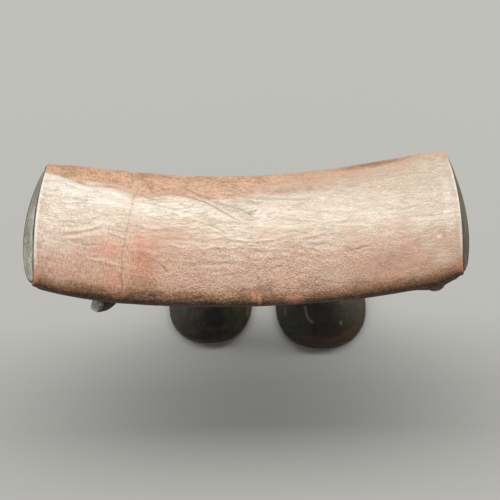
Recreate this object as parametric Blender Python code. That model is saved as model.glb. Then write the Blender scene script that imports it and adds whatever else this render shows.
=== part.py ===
"""Carved wooden headrest with a leather-covered saddle, modelled piece by piece.

Metres, +Z up, +X along the saddle, +Y to the back. The ground is Z = 0 and the
bounding box is centred on the origin, with the saddle's middle a little to one side.
"""

import math

import bmesh
import bpy
from mathutils import Matrix, Vector

# Saddle
SADDLE_SPAN = 0.192
SADDLE_RISE = 0.027
SADDLE_HEIGHT = 0.122
SADDLE_WIDTH = 0.0662
SADDLE_END_WIDTH = 0.0582
SADDLE_CROWN = 0.0060
SADDLE_BELLY = 0.0130
SADDLE_END_BOW = 0.0033
LEFT_END_LEAN = math.radians(4)
RIGHT_END_LEAN = math.radians(-6)
CROWN_FULLNESS = 2.25
BELLY_FULLNESS = 2.50
WIDTH_TAPER = 5.0

# Leather cover
COVER_THICKNESS = 0.0013
COVER_LAP = 0.0125

# Legs
LEG_PAIR_OFFSET = 0.006
LEG_TOP_SPACING = 0.052
FOOT_SPACING = 0.073
LEFT_FOOT_WIDTH = 0.0552
LEFT_FOOT_DEPTH = 0.0545
LEFT_FOOT_SET_BACK = 0.0025
RIGHT_FOOT_WIDTH = 0.0592
RIGHT_FOOT_DEPTH = 0.0585
RIGHT_FOOT_SET_BACK = -0.0010
FOOT_FULLNESS = 2.30
FOOT_RIM_HEIGHT = 0.007
FOOT_RIM_ROUND = 0.0028
FOOT_FLARE_HEIGHT = 0.040
FOOT_FLARE_CURVE = 1.8
COLUMN_DIAMETER = 0.022
SHOULDER_WIDTH = 0.033
SHOULDER_LAP_GAP = 0.0041
SHOULDER_FLARE_HEIGHT = 0.034

# Wedged tenons
TENON_DIAMETER = 0.015
TENON_ROOT = 0.020
WEDGE_THICKNESS = 0.0030
WEDGE_TIP = 0.0009
WEDGE_DEPTH = 0.0135

# Pegs and the lug that pin the cover
PEG_DIAMETER = 0.0040
PEG_DEPTH = 0.0080
PEG_POINT_SHARE = 0.7
PEG_HEAD_DIAMETER = 0.0086
PEG_HEAD_HEIGHT = 0.0026
PEG_END_INSET = 0.0140
EDGE_PEG_ANGLE = math.radians(14)
LAP_PEG_ANGLE = math.radians(40)
LUG_END_INSET = 0.0340
LUG_ANGLE = math.radians(30)
LUG_TENON_DIAMETER = 0.0070
LUG_WIDTH = 0.0145
LUG_BREADTH = 0.0095
LUG_LENGTH = 0.0068
LUG_TIP_SHARE = 0.42
LUG_TIP_ROUND = 0.0011
LUG_TIP_FLAT_SHARE = 0.55
LUG_HOOK = 0.0034
LUG_CURVE = 1.5

# Fits
FIT_CLEARANCE = 0.0003
SKY_HEIGHT = 0.040

# Facet counts
STATIONS = 26
ACROSS = 18
RING_SIDES = 36
PEG_SIDES = 14

# Worked out from the sizes above
END_ANGLE = 2 * math.atan2(SADDLE_RISE, SADDLE_SPAN / 2)
ARC_RADIUS = SADDLE_SPAN / 2 / math.sin(END_ANGLE)
COVER_OFFSET = FIT_CLEARANCE + COVER_THICKNESS
SHOULDER_DEPTH = SADDLE_WIDTH - 2 * (COVER_LAP + SHOULDER_LAP_GAP)
UPRIGHT = Vector((0, 0, 1))


def signed_power(value, power):
    return math.copysign(abs(value) ** power, value)


def half_width(station):
    """Half the width of the saddle's wood, at a station from -1 (left end) to 1."""
    middle = SADDLE_WIDTH / 2
    end = SADDLE_END_WIDTH / 2
    return middle + (end - middle) * abs(station) ** WIDTH_TAPER


def section_point(station, angle):
    """(across, depth) on the section: angle 0 is the back edge, 90 degrees the crown, -90 the belly."""
    rise = math.sin(angle)
    fullness = CROWN_FULLNESS if rise >= 0 else BELLY_FULLNESS
    reach = SADDLE_CROWN if rise >= 0 else SADDLE_BELLY
    across = half_width(station) * signed_power(math.cos(angle), 2 / fullness)
    return across, SADDLE_CROWN - reach * signed_power(rise, 2 / fullness)


def section_normal(station, angle):
    """The outward normal of the section, as (across, depth)."""
    step = 0.02
    y0, d0 = section_point(station, angle - step)
    y1, d1 = section_point(station, angle + step)
    length = math.hypot(y1 - y0, d1 - d0)
    return -(d1 - d0) / length, (y1 - y0) / length


def bend(station, across, depth):
    """The place in space of a point of a section, on the arc that the saddle follows."""
    bow = SADDLE_END_BOW / ARC_RADIUS * (across / half_width(station)) ** 2
    lean = LEFT_END_LEAN if station < 0 else RIGHT_END_LEAN
    turn = station * (END_ANGLE - bow + station**4 * math.tan(lean) * depth / ARC_RADIUS)
    radius = ARC_RADIUS + depth
    height = SADDLE_HEIGHT + ARC_RADIUS - radius * math.cos(turn)
    return Vector((radius * math.sin(turn), across, height))


def skin_point(station, angle, offset):
    """A point at this distance outside the saddle's wood."""
    across, depth = section_point(station, angle)
    to_side, to_depth = section_normal(station, angle)
    return bend(station, across + offset * to_side, depth + offset * to_depth)


def skin_frame(station, angle, offset):
    """A matrix at a point outside the wood, with Z straight out and X along the saddle."""
    to_side, to_depth = section_normal(station, angle)
    turn = station * END_ANGLE
    out = Vector((to_depth * math.sin(turn), to_side, -to_depth * math.cos(turn)))
    along = Vector((math.cos(turn), 0, math.sin(turn)))
    frame = Matrix((along, out.cross(along), out)).transposed().to_4x4()
    frame.translation = skin_point(station, angle, offset)
    return frame


def station_of(place):
    """The station whose top lies over this X."""
    return math.asin(place / ARC_RADIUS) / END_ANGLE


def end_station(inset):
    """The station at this distance along the arc from the right end."""
    return 1 - inset / (ARC_RADIUS * END_ANGLE)


def belly_angle(station, in_from_edge, side):
    """The section angle on the underside, at this distance in from the back (1) or front (-1) edge."""
    share = 1 - in_from_edge / half_width(station)
    below = math.acos(share ** (BELLY_FULLNESS / 2))
    return -below if side > 0 else math.pi + below


def material(name, colour, roughness):
    made = bpy.data.materials.new(name)
    made.use_nodes = True
    shader = made.node_tree.nodes["Principled BSDF"]
    shader.inputs["Base Color"].default_value = (*colour, 1)
    shader.inputs["Roughness"].default_value = roughness
    shader.inputs["Metallic"].default_value = 0
    return made


def add_object(name, bm, finish=None, smooth=True):
    """Turns a bmesh into a named object. One with no finish is a cutter."""
    bmesh.ops.recalc_face_normals(bm, faces=bm.faces)
    mesh = bpy.data.meshes.new(name)
    bm.to_mesh(mesh)
    bm.free()
    made = bpy.data.objects.new(name, mesh)
    bpy.context.scene.collection.objects.link(made)
    if finish is None:
        made.hide_render = True
        made.display_type = "WIRE"
    else:
        mesh.materials.append(finish)
    for face in mesh.polygons:
        face.use_smooth = smooth
    return made


def boolean(target, operation, other):
    step = target.modifiers.new(f"{operation.lower()} {other.name}", "BOOLEAN")
    step.operation = operation
    step.solver = "EXACT"
    step.object = other


def loft(loops):
    """A closed body through loops of equally many points, with its two ends filled across."""
    bm = bmesh.new()
    rings = [[bm.verts.new(point) for point in loop] for loop in loops]
    count = len(rings[0])
    for near, far in zip(rings, rings[1:]):
        for i in range(count):
            j = (i + 1) % count
            bm.faces.new((near[i], near[j], far[j], far[i]))
    for ring in (rings[0], rings[-1]):
        for i in range(count // 2 - 1):
            quad = [ring[i], ring[i + 1], ring[count - 2 - i], ring[count - 1 - i]]
            bm.faces.new(quad)
    return bm


def stations():
    return [-1 + 2 * i / STATIONS for i in range(STATIONS + 1)]


def saddle_loops(offset):
    """The saddle's sections, from a bit behind the back edge over the crown to the front and back under."""
    step = math.pi / ACROSS
    angles = [step / 2 + step * i for i in range(2 * ACROSS)]
    return [[skin_point(s, angle, offset) for angle in angles] for s in stations()]


def cover_loops():
    """C-shaped sections of the cover: its outside from lap to lap, then its inside back again."""
    loops = []
    for s in stations():
        start = belly_angle(s, COVER_LAP, 1)
        end = belly_angle(s, COVER_LAP, -1)
        count = 2 * ACROSS
        angles = [start + (end - start) * i / count for i in range(count + 1)]
        outside = [skin_point(s, angle, COVER_OFFSET) for angle in angles]
        inside = [skin_point(s, angle, FIT_CLEARANCE) for angle in reversed(angles)]
        loops.append(outside + inside)
    return loops


def sky_cutter():
    """Everything over the saddle's wood, for cutting tenons and wedges flush with it."""
    loops = []
    for s in stations():
        angles = [math.pi * i / ACROSS for i in range(ACROSS + 1)]
        low = [section_point(s, angle) for angle in angles]
        under = [bend(s, across, depth) for across, depth in low]
        over = [bend(s, across, depth - SKY_HEIGHT) for across, depth in reversed(low)]
        loops.append(under + over)
    return add_object("sky_cutter", loft(loops))


def leaning_rings(foot, slope, rows, sides, fullness=2.0):
    """Level rings up a leaning axis: rows hold (height, half width, half depth)."""
    rings = []
    for height, wide, deep in rows:
        middle = foot + slope * height
        ring = []
        for i in range(sides):
            angle = 2 * math.pi * (i + 0.5) / sides
            x = wide * signed_power(math.cos(angle), 2 / fullness)
            y = deep * signed_power(math.sin(angle), 2 / fullness)
            ring.append(middle + Vector((x, y, 0)))
        rings.append(ring)
    return rings


def leg_rows(foot_width, foot_depth, top):
    """Heights and half sizes of a leg: a rounded rim, a flared foot, a column and a flared shoulder."""
    column = COLUMN_DIAMETER / 2
    rows = []
    for i in range(5):
        turn = math.pi / 2 * i / 4
        inset = FOOT_RIM_ROUND * (1 - math.sin(turn))
        height = FOOT_RIM_ROUND * (1 - math.cos(turn))
        rows.append((height, foot_width / 2 - inset, foot_depth / 2 - inset))
    for i in range(13):
        spread = (1 - i / 12) ** FOOT_FLARE_CURVE
        wide = column + (foot_width / 2 - column) * spread
        deep = column + (foot_depth / 2 - column) * spread
        rows.append((FOOT_RIM_HEIGHT + FOOT_FLARE_HEIGHT * i / 12, wide, deep))
    for i in range(9):
        swell = (i / 8) ** 2
        wide = column + (SHOULDER_WIDTH / 2 - column) * swell
        deep = column + (SHOULDER_DEPTH / 2 - column) * swell
        rows.append((top - SHOULDER_FLARE_HEIGHT * (1 - i / 8), wide, deep))
    return rows


def rise_at(place):
    """How far the saddle's top stands over its middle at this X."""
    return ARC_RADIUS - math.sqrt(ARC_RADIUS**2 - place**2)


def wedge_prism(name, foot, slope, top, grow, finish=None):
    """A wedge across the tenon, thick end up, grown by a clearance on every side."""
    point = top - WEDGE_DEPTH - grow
    taper = (WEDGE_THICKNESS - WEDGE_TIP) / WEDGE_DEPTH
    head = top + SKY_HEIGHT / 4
    thin = WEDGE_TIP / 2 - taper * grow / 2 + grow
    thick = WEDGE_THICKNESS / 2 + taper * (head - top) / 2 + grow
    rings = []
    for height, half in ((point, thin), (head, thick)):
        corners = ((-half, -1), (half, -1), (half, 1), (-half, 1))
        middle = foot + slope * height
        rings.append([middle + Vector((x, y * TENON_DIAMETER, 0)) for x, y in corners])
    return add_object(name, loft(rings), finish, smooth=False)


def make_leg(side, seat, sky, saddle, wood, wedge_wood):
    """A leg with its tenon kerfed for a wedge, the wedge, and the mortise for both in the saddle."""
    if side == "left":
        direction, width, depth, back = -1, LEFT_FOOT_WIDTH, LEFT_FOOT_DEPTH, LEFT_FOOT_SET_BACK
    else:
        direction, width, depth, back = 1, RIGHT_FOOT_WIDTH, RIGHT_FOOT_DEPTH, RIGHT_FOOT_SET_BACK
    foot = Vector((LEG_PAIR_OFFSET + direction * FOOT_SPACING / 2, back, 0))
    top_x = LEG_PAIR_OFFSET + direction * LEG_TOP_SPACING / 2
    top = SADDLE_HEIGHT + rise_at(top_x)
    slope = (Vector((top_x, 0, top)) - foot) / top
    inside = top - SADDLE_CROWN - SADDLE_BELLY / 2

    body = leaning_rings(foot, slope, leg_rows(width, depth, inside), RING_SIDES, FOOT_FULLNESS)
    leg = add_object(f"{side}_leg", loft(body), wood)

    root = inside - SADDLE_BELLY - TENON_ROOT
    ends = (root, top + SKY_HEIGHT / 2)
    radius = TENON_DIAMETER / 2
    shaft = [(height, radius, radius) for height in ends]
    hole = [(height, radius + FIT_CLEARANCE, radius + FIT_CLEARANCE) for height in ends]
    tenon = add_object(f"{side}_tenon_cutter", loft(leaning_rings(foot, slope, shaft, RING_SIDES)))
    mortise = add_object(f"{side}_mortise_cutter", loft(leaning_rings(foot, slope, hole, RING_SIDES)))
    kerf = wedge_prism(f"{side}_kerf_cutter", foot, slope, top, FIT_CLEARANCE)
    boolean(leg, "DIFFERENCE", seat)
    boolean(leg, "UNION", tenon)
    boolean(leg, "DIFFERENCE", sky)
    boolean(leg, "DIFFERENCE", kerf)
    boolean(saddle, "DIFFERENCE", mortise)

    wedge = wedge_prism(f"{side}_wedge", foot, slope, top, 0, wedge_wood)
    boolean(wedge, "INTERSECT", tenon)
    boolean(wedge, "DIFFERENCE", sky)


def round_body(rows, sides=PEG_SIDES):
    """A turned body along Z, from rows of (height, radius)."""
    rings = [(height, radius, radius) for height, radius in rows]
    return loft(leaning_rings(Vector(), UPRIGHT, rings, sides))


def pin_hole(name, frame, diameter, saddle, cover):
    """Bores one hole for a pin, through the cover and into the saddle."""
    radius = diameter / 2 + FIT_CLEARANCE
    depth = PEG_DEPTH + COVER_OFFSET + FIT_CLEARANCE
    bore = add_object(f"{name}_bore_cutter", round_body([(-depth, radius), (PEG_DEPTH, radius)]))
    bore.matrix_local = frame
    boolean(saddle, "DIFFERENCE", bore)
    boolean(cover, "DIFFERENCE", bore)


def make_peg(name, station, angle, saddle, cover, finish):
    """A whittled peg with a domed head, driven through the cover into the saddle."""
    frame = skin_frame(station, angle, COVER_OFFSET)
    shank = PEG_DIAMETER / 2
    head = PEG_HEAD_DIAMETER / 2
    rows = [(-PEG_DEPTH - COVER_OFFSET, shank * PEG_POINT_SHARE)]
    rows += [(-PEG_DEPTH, shank), (FIT_CLEARANCE, shank)]
    for i in range(5):
        turn = math.pi / 2 * i / 5
        rows.append((FIT_CLEARANCE + PEG_HEAD_HEIGHT * math.sin(turn), head * math.cos(turn)))
    peg = add_object(name, round_body(rows), finish)
    peg.matrix_local = frame
    pin_hole(name, frame, PEG_DIAMETER, saddle, cover)


def make_lug(saddle, cover, finish):
    """The claw-shaped lug under the front edge, with a round tenon through the cover."""
    station = -end_station(LUG_END_INSET)
    frame = skin_frame(station, math.pi + LUG_ANGLE, COVER_OFFSET)
    tenon = LUG_TENON_DIAMETER / 2
    sides = 2 * PEG_SIDES
    rows = [(-PEG_DEPTH - COVER_OFFSET, tenon, tenon, 0), (FIT_CLEARANCE, tenon, tenon, 0)]
    for i in range(7):
        curve = (i / 6) ** LUG_CURVE
        slim = 1 - (1 - LUG_TIP_SHARE) * curve
        height = FIT_CLEARANCE + LUG_LENGTH * i / 6
        rows.append((height, LUG_WIDTH / 2 * slim, LUG_BREADTH / 2 * slim, -LUG_HOOK * curve))
    height, wide, deep, shift = rows[-1]
    flat = LUG_TIP_FLAT_SHARE
    rows.append((height + LUG_TIP_ROUND, wide * flat, deep * flat, shift))
    rings = []
    for height, wide, deep, shift in rows:
        ring = leaning_rings(Vector(), UPRIGHT, [(height, wide, deep)], sides)[0]
        rings.append([point + Vector((shift, 0, 0)) for point in ring])
    lug = add_object("carrying_lug", loft(rings), finish)
    lug.matrix_local = frame
    pin_hole("carrying_lug", frame, LUG_TENON_DIAMETER, saddle, cover)


def centre_on_origin():
    """Hangs every object on an empty that puts the two ends of the saddle equally far from the origin."""
    thickness = SADDLE_CROWN + SADDLE_BELLY
    stand = bpy.data.objects.new("headrest", None)
    stand.location.x = -(bend(-1, 0, thickness).x + bend(1, 0, thickness).x) / 2
    for made in list(bpy.data.objects):
        if made is not stand:
            made.parent = stand
    bpy.context.scene.collection.objects.link(stand)


def main():
    for old in list(bpy.data.objects):
        bpy.data.objects.remove(old, do_unlink=True)

    dark_wood = material("blackened wood", (0.020, 0.016, 0.012), 0.38)
    leg_wood = material("dark leg wood", (0.024, 0.017, 0.012), 0.35)
    wedge_wood = material("pale wedge wood", (0.30, 0.18, 0.09), 0.6)
    leather = material("worn brown leather", (0.36, 0.22, 0.15), 0.45)
    peg_wood = material("peg wood", (0.10, 0.045, 0.028), 0.45)

    saddle = add_object("saddle", loft(saddle_loops(0)), dark_wood)
    cover = add_object("leather_cover", loft(cover_loops()), leather)
    seat = add_object("saddle_seat_cutter", loft(saddle_loops(FIT_CLEARANCE)))
    sky = sky_cutter()

    make_leg("left", seat, sky, saddle, leg_wood, wedge_wood)
    make_leg("right", seat, sky, saddle, leg_wood, wedge_wood)

    end = end_station(PEG_END_INSET)
    middle = station_of(LEG_PAIR_OFFSET)
    make_lug(saddle, cover, dark_wood)
    make_peg("front_right_peg", end, math.pi + EDGE_PEG_ANGLE, saddle, cover, peg_wood)
    make_peg("back_left_peg", -end, -EDGE_PEG_ANGLE, saddle, cover, peg_wood)
    make_peg("back_right_peg", end, -EDGE_PEG_ANGLE, saddle, cover, peg_wood)
    make_peg("front_middle_peg", middle, math.pi + LAP_PEG_ANGLE, saddle, cover, peg_wood)
    make_peg("back_middle_peg", middle, -LAP_PEG_ANGLE, saddle, cover, peg_wood)
    centre_on_origin()


main()
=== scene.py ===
"""A carved headrest in a shrunk leather cover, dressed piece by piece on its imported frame.

Metres, +Z up, +X along the saddle, +Y to the back, as in the part. The relief of the skin is
written in millimetres, because folds and pores are small.
"""

import math

import bmesh
import bpy
import numpy as np
from mathutils import Matrix, Vector, noise


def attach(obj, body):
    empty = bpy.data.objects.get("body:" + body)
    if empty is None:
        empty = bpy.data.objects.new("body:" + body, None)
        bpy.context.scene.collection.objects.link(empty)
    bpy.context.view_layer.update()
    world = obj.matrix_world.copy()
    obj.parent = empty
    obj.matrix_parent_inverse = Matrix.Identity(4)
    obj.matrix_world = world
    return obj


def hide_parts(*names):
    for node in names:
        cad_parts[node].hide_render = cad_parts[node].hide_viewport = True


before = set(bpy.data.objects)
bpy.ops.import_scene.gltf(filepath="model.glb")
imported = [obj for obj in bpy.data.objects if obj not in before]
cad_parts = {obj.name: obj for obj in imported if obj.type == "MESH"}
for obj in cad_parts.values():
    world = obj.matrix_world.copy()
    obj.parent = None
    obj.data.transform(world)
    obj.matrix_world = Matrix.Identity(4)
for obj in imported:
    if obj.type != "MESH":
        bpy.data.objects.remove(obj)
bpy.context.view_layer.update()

bl_info = {
    "name": "Carved headrest",
    "version": (1, 0, 0),
    "blender": (4, 5, 0),
    "location": "3D View > Sidebar > Headrest",
    "description": "Builds a carved headrest with a shrunk leather cover on its packed frame",
    "category": "Object",
}

MM = 0.001
BODY = "root"
# Columns of the skin's outside for each column of its inside
INSIDE_EVERY = 8


# Settings that a user would change

def number(name, default, description, **kind):
    return bpy.props.FloatProperty(name=name, description=description, default=default, **kind)


def length(name, default, description):
    return number(name, default, description, unit="LENGTH", precision=4)


def angle(name, degrees, description):
    return number(name, math.radians(degrees), description, subtype="ANGLE")


def colour(name, default, description):
    return bpy.props.FloatVectorProperty(
        name=name, description=description, default=default, subtype="COLOR", size=3, min=0, max=1
    )


def place(name, default, description):
    return bpy.props.FloatVectorProperty(
        name=name, description=description, default=default, subtype="XYZ", size=3, unit="LENGTH"
    )


class HEADREST_PG_saddle(bpy.types.PropertyGroup):
    """Sizes of the saddle and its cover, the same as the part's."""

    span: length("Span", 0.192, "Straight length of the top, end to end")
    rise: length("Rise", 0.027, "Height of the ends over the middle")
    height: length("Height", 0.122, "Height of the wood's top at the middle")
    width: length("Width", 0.0662, "Width of the wood at the middle")
    end_width: length("End width", 0.0582, "Width of the wood at the ends")
    crown: length("Crown", 0.0060, "Thickness over the edge line")
    belly: length("Belly", 0.0130, "Thickness under the edge line")
    end_bow: length("End bow", 0.0033, "How far the ends bulge at their middle")
    left_lean: angle("Left lean", 4, "Lean of the left end face")
    right_lean: angle("Right lean", -6, "Lean of the right end face")
    crown_fullness: number("Crown fullness", 2.25, "Squareness of the upper section")
    belly_fullness: number("Belly fullness", 2.50, "Squareness of the lower section")
    taper: number("Taper", 5.0, "How late the width narrows towards the ends")
    cover: length("Cover thickness", 0.0013, "Thickness of the leather")
    lap: length("Lap", 0.0125, "How far the leather laps under each edge")
    clearance: length("Clearance", 0.0003, "Gap between pieces that fit together")


class HEADREST_PG_legs(bpy.types.PropertyGroup):
    """Sizes of the legs, the same as the part's, and the depth of their blade marks."""

    offset: length("Pair offset", 0.006, "How far the pair stands to the right of the saddle's middle")
    top_spacing: length("Top spacing", 0.052, "Distance between the tenons at the top")
    foot_spacing: length("Foot spacing", 0.073, "Distance between the feet's middles")
    left_width: length("Left foot width", 0.0552, "Width of the left foot")
    left_depth: length("Left foot depth", 0.0545, "Depth of the left foot")
    left_back: length("Left foot set back", 0.0025, "How far back the left foot stands")
    right_width: length("Right foot width", 0.0592, "Width of the right foot")
    right_depth: length("Right foot depth", 0.0585, "Depth of the right foot")
    right_back: length("Right foot set back", -0.0010, "How far back the right foot stands")
    fullness: number("Foot fullness", 2.30, "Squareness of the feet seen from above")
    rim: length("Rim height", 0.007, "Height of the rim of a foot")
    rim_round: length("Rim rounding", 0.0028, "Rounding of the rim's lower edge")
    flare: length("Foot flare", 0.040, "Height over which a foot narrows to its column")
    flare_curve: number("Flare curve", 1.8, "How hollow the flare of a foot is")
    column: length("Column", 0.022, "Diameter of the columns")
    shoulder: length("Shoulder", 0.033, "Diameter where a leg meets the saddle")
    shoulder_flare: length("Shoulder flare", 0.034, "Height over which a column widens to its shoulder")
    tenon: length("Tenon", 0.015, "Diameter of the tenons")
    adze: length("Adze marks", 0.00075, "Depth of the marks of the blade")


class HEADREST_PG_pins(bpy.types.PropertyGroup):
    """Sizes of the pegs, the same as the part's, and of the lug's carving."""

    shank: length("Shank", 0.0040, "Diameter of a peg")
    depth: length("Depth", 0.0080, "How deep a peg goes into the wood")
    head: length("Head", 0.0086, "Diameter of a peg's head")
    head_height: length("Head height", 0.0026, "Height of a peg's head")
    end_inset: length("End inset", 0.0140, "Distance of the edge pegs from the ends")
    edge_angle: angle("Edge angle", 14, "How far under the edge the edge pegs sit")
    lap_angle: angle("Lap angle", 40, "How far under the edge the middle pegs sit")
    lug_inset: length("Lug inset", 0.0340, "Distance of the lug from the left end")
    lug_angle: angle("Lug angle", 30, "How far under the edge the lug sits")
    lug_tenon: length("Lug tenon", 0.0070, "Diameter of the lug's tenon")
    lug_width: length("Lug width", 0.0152, "Width of the lug along the saddle")
    lug_breadth: length("Lug breadth", 0.0086, "Breadth of the lug across the saddle")
    lug_length: length("Lug length", 0.0079, "How far the lug stands out")
    lug_hook: length("Lug hook", 0.0026, "How far the lug's tip hooks to the left")
    lug_droop: length("Lug droop", 0.0008, "How far the lug's tip hangs down")


class HEADREST_PG_colours(bpy.types.PropertyGroup):
    """Colours of the finishes."""

    tan: colour("Tan", (0.585, 0.340, 0.193), "Unworn skin along the back edge")
    worn: colour("Worn", (0.505, 0.388, 0.298), "Skin worn pale on the top")
    brown: colour("Brown", (0.500, 0.310, 0.200), "Skin towards the front edge")
    rose: colour("Rose", (0.500, 0.285, 0.200), "Redder skin towards the front edge")
    cream: colour("Cream", (0.525, 0.433, 0.325), "Yellower worn skin")
    # Also painted highlights: the glints near the right end, the bright panel beside the drawn folds, the
    # crests of wrinkles and the pale rims of the cut ends
    bleached_and_highlight: colour("Bleached", (0.690, 0.625, 0.550), "Skin worn almost white")
    # Also painted shade beside the drawn folds of the middle
    olive: colour("Olive", (0.430, 0.390, 0.300), "Greyer patches of the skin")
    # Umber and dark are painted shade where the skin rolls under the front edge and under the back edge;
    # umber also draws the tan strip's dark lines and pores, and dark the grain of the pegs
    umber: colour("Umber", (0.190, 0.085, 0.033), "Skin where it rolls over the front edge")
    dark: colour("Dark", (0.052, 0.023, 0.009), "Skin darkened by hands, under the front edge")
    red: colour("Red", (0.510, 0.205, 0.115), "Reddish patches and scuffs")
    salmon: colour("Salmon", (0.58, 0.235, 0.115), "Raw scuffs on the front edge")
    # Painted shade along the drawn folds and the dark of creases, cracks and scratches; also darker
    # patches of the brown skin and its pores
    ink_and_shade: colour("Crease", (0.190, 0.082, 0.046), "Bottom of the creases")
    # Also the painted highlight of crests and crumples on unworn skin
    fleck_and_highlight: colour("Flecks", (0.56, 0.45, 0.38), "Pale flecks of the unworn skin")
    black: colour("Black", (0.0095, 0.0076, 0.0054), "Blackened wood")
    bark: colour("Worn wood", (0.058, 0.035, 0.023), "Wood worn brown at rims and arrises")
    # A painted sheen: the reflection on the left flanks of the legs
    flank_sheen: colour("Film", (0.037, 0.044, 0.036), "Dull film on the left flanks of the legs")
    stain: colour("Stain", (0.052, 0.050, 0.028), "Olive stain on the right flanks of the legs")
    # Scraped wood and painted sheen on the end faces; also the painted reflection of the lug's facet and
    # the painted glints on the legs
    scraped_and_sheen: colour("Scraped wood", (0.500, 0.500, 0.440), "Grey scraped faces of the black wood")
    peg: colour("Peg", (0.19, 0.110, 0.075), "Whittled pegs")
    split: colour("Split wood", (0.36, 0.24, 0.14), "Bare wood of the wedges")


class HEADREST_PG_studio(bpy.types.PropertyGroup):
    """The camera, the floor and the light."""

    camera: place("Camera", (0.01340, -0.12567, 0.41387), "Where the camera stands")
    aim: place("Aim", (0.00320, -0.01640, 0.14134), "A point in the middle of the picture")
    roll: angle("Roll", -6.65, "How far the camera is turned about its axis")
    lens: number("Lens", 46.67, "Focal length in millimetres")
    sensor: number("Sensor", 36.0, "Width of the camera's sensor in millimetres")
    floor: colour("Floor", (0.36, 0.37, 0.37), "The plain floor")
    floor_reach: length("Floor reach", 40.0, "Half the side of the floor")
    key: number("Key light", 1430.0, "Power of the long softbox behind the headrest, in watts")
    key_tint: colour("Key tint", (1.0, 0.97, 0.92), "Colour of the softbox")
    key_place: place("Key place", (1.4, 3.3, 6.2), "Where the softbox hangs")
    key_aim: place("Key aim", (1.4, 0, 0.12), "A point that the softbox faces")
    key_length: length("Key length", 24.0, "Long side of the softbox")
    key_width: length("Key width", 2.3, "Short side of the softbox")
    fill: number("Fill", 0.26, "Strength of the light from all round")
    fill_tint: colour("Fill tint", (1.0, 0.96, 0.89), "Colour of the light from all round")


class HEADREST_PG_settings(bpy.types.PropertyGroup):
    """All that a user would change."""

    saddle: bpy.props.PointerProperty(type=HEADREST_PG_saddle)
    legs: bpy.props.PointerProperty(type=HEADREST_PG_legs)
    pins: bpy.props.PointerProperty(type=HEADREST_PG_pins)
    colours: bpy.props.PointerProperty(type=HEADREST_PG_colours)
    studio: bpy.props.PointerProperty(type=HEADREST_PG_studio)


# Shape of the saddle

def signed_power(value, power):
    return np.copysign(np.abs(value) ** power, value)


def smooth(value, low, high):
    """0 at low, 1 at high, and eased between them. Low may be over high."""
    share = np.clip((value - low) / (high - low), 0, 1)
    return share * share * (3 - 2 * share)


def noise_at(x, y, seed):
    """Smooth noise from about -1 to 1 at each point of two arrays."""
    x, y = np.broadcast_arrays(x, y)
    values = [noise.noise((u, v, seed)) for u, v in zip(x.ravel(), y.ravel())]
    return np.array(values).reshape(x.shape)


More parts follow.
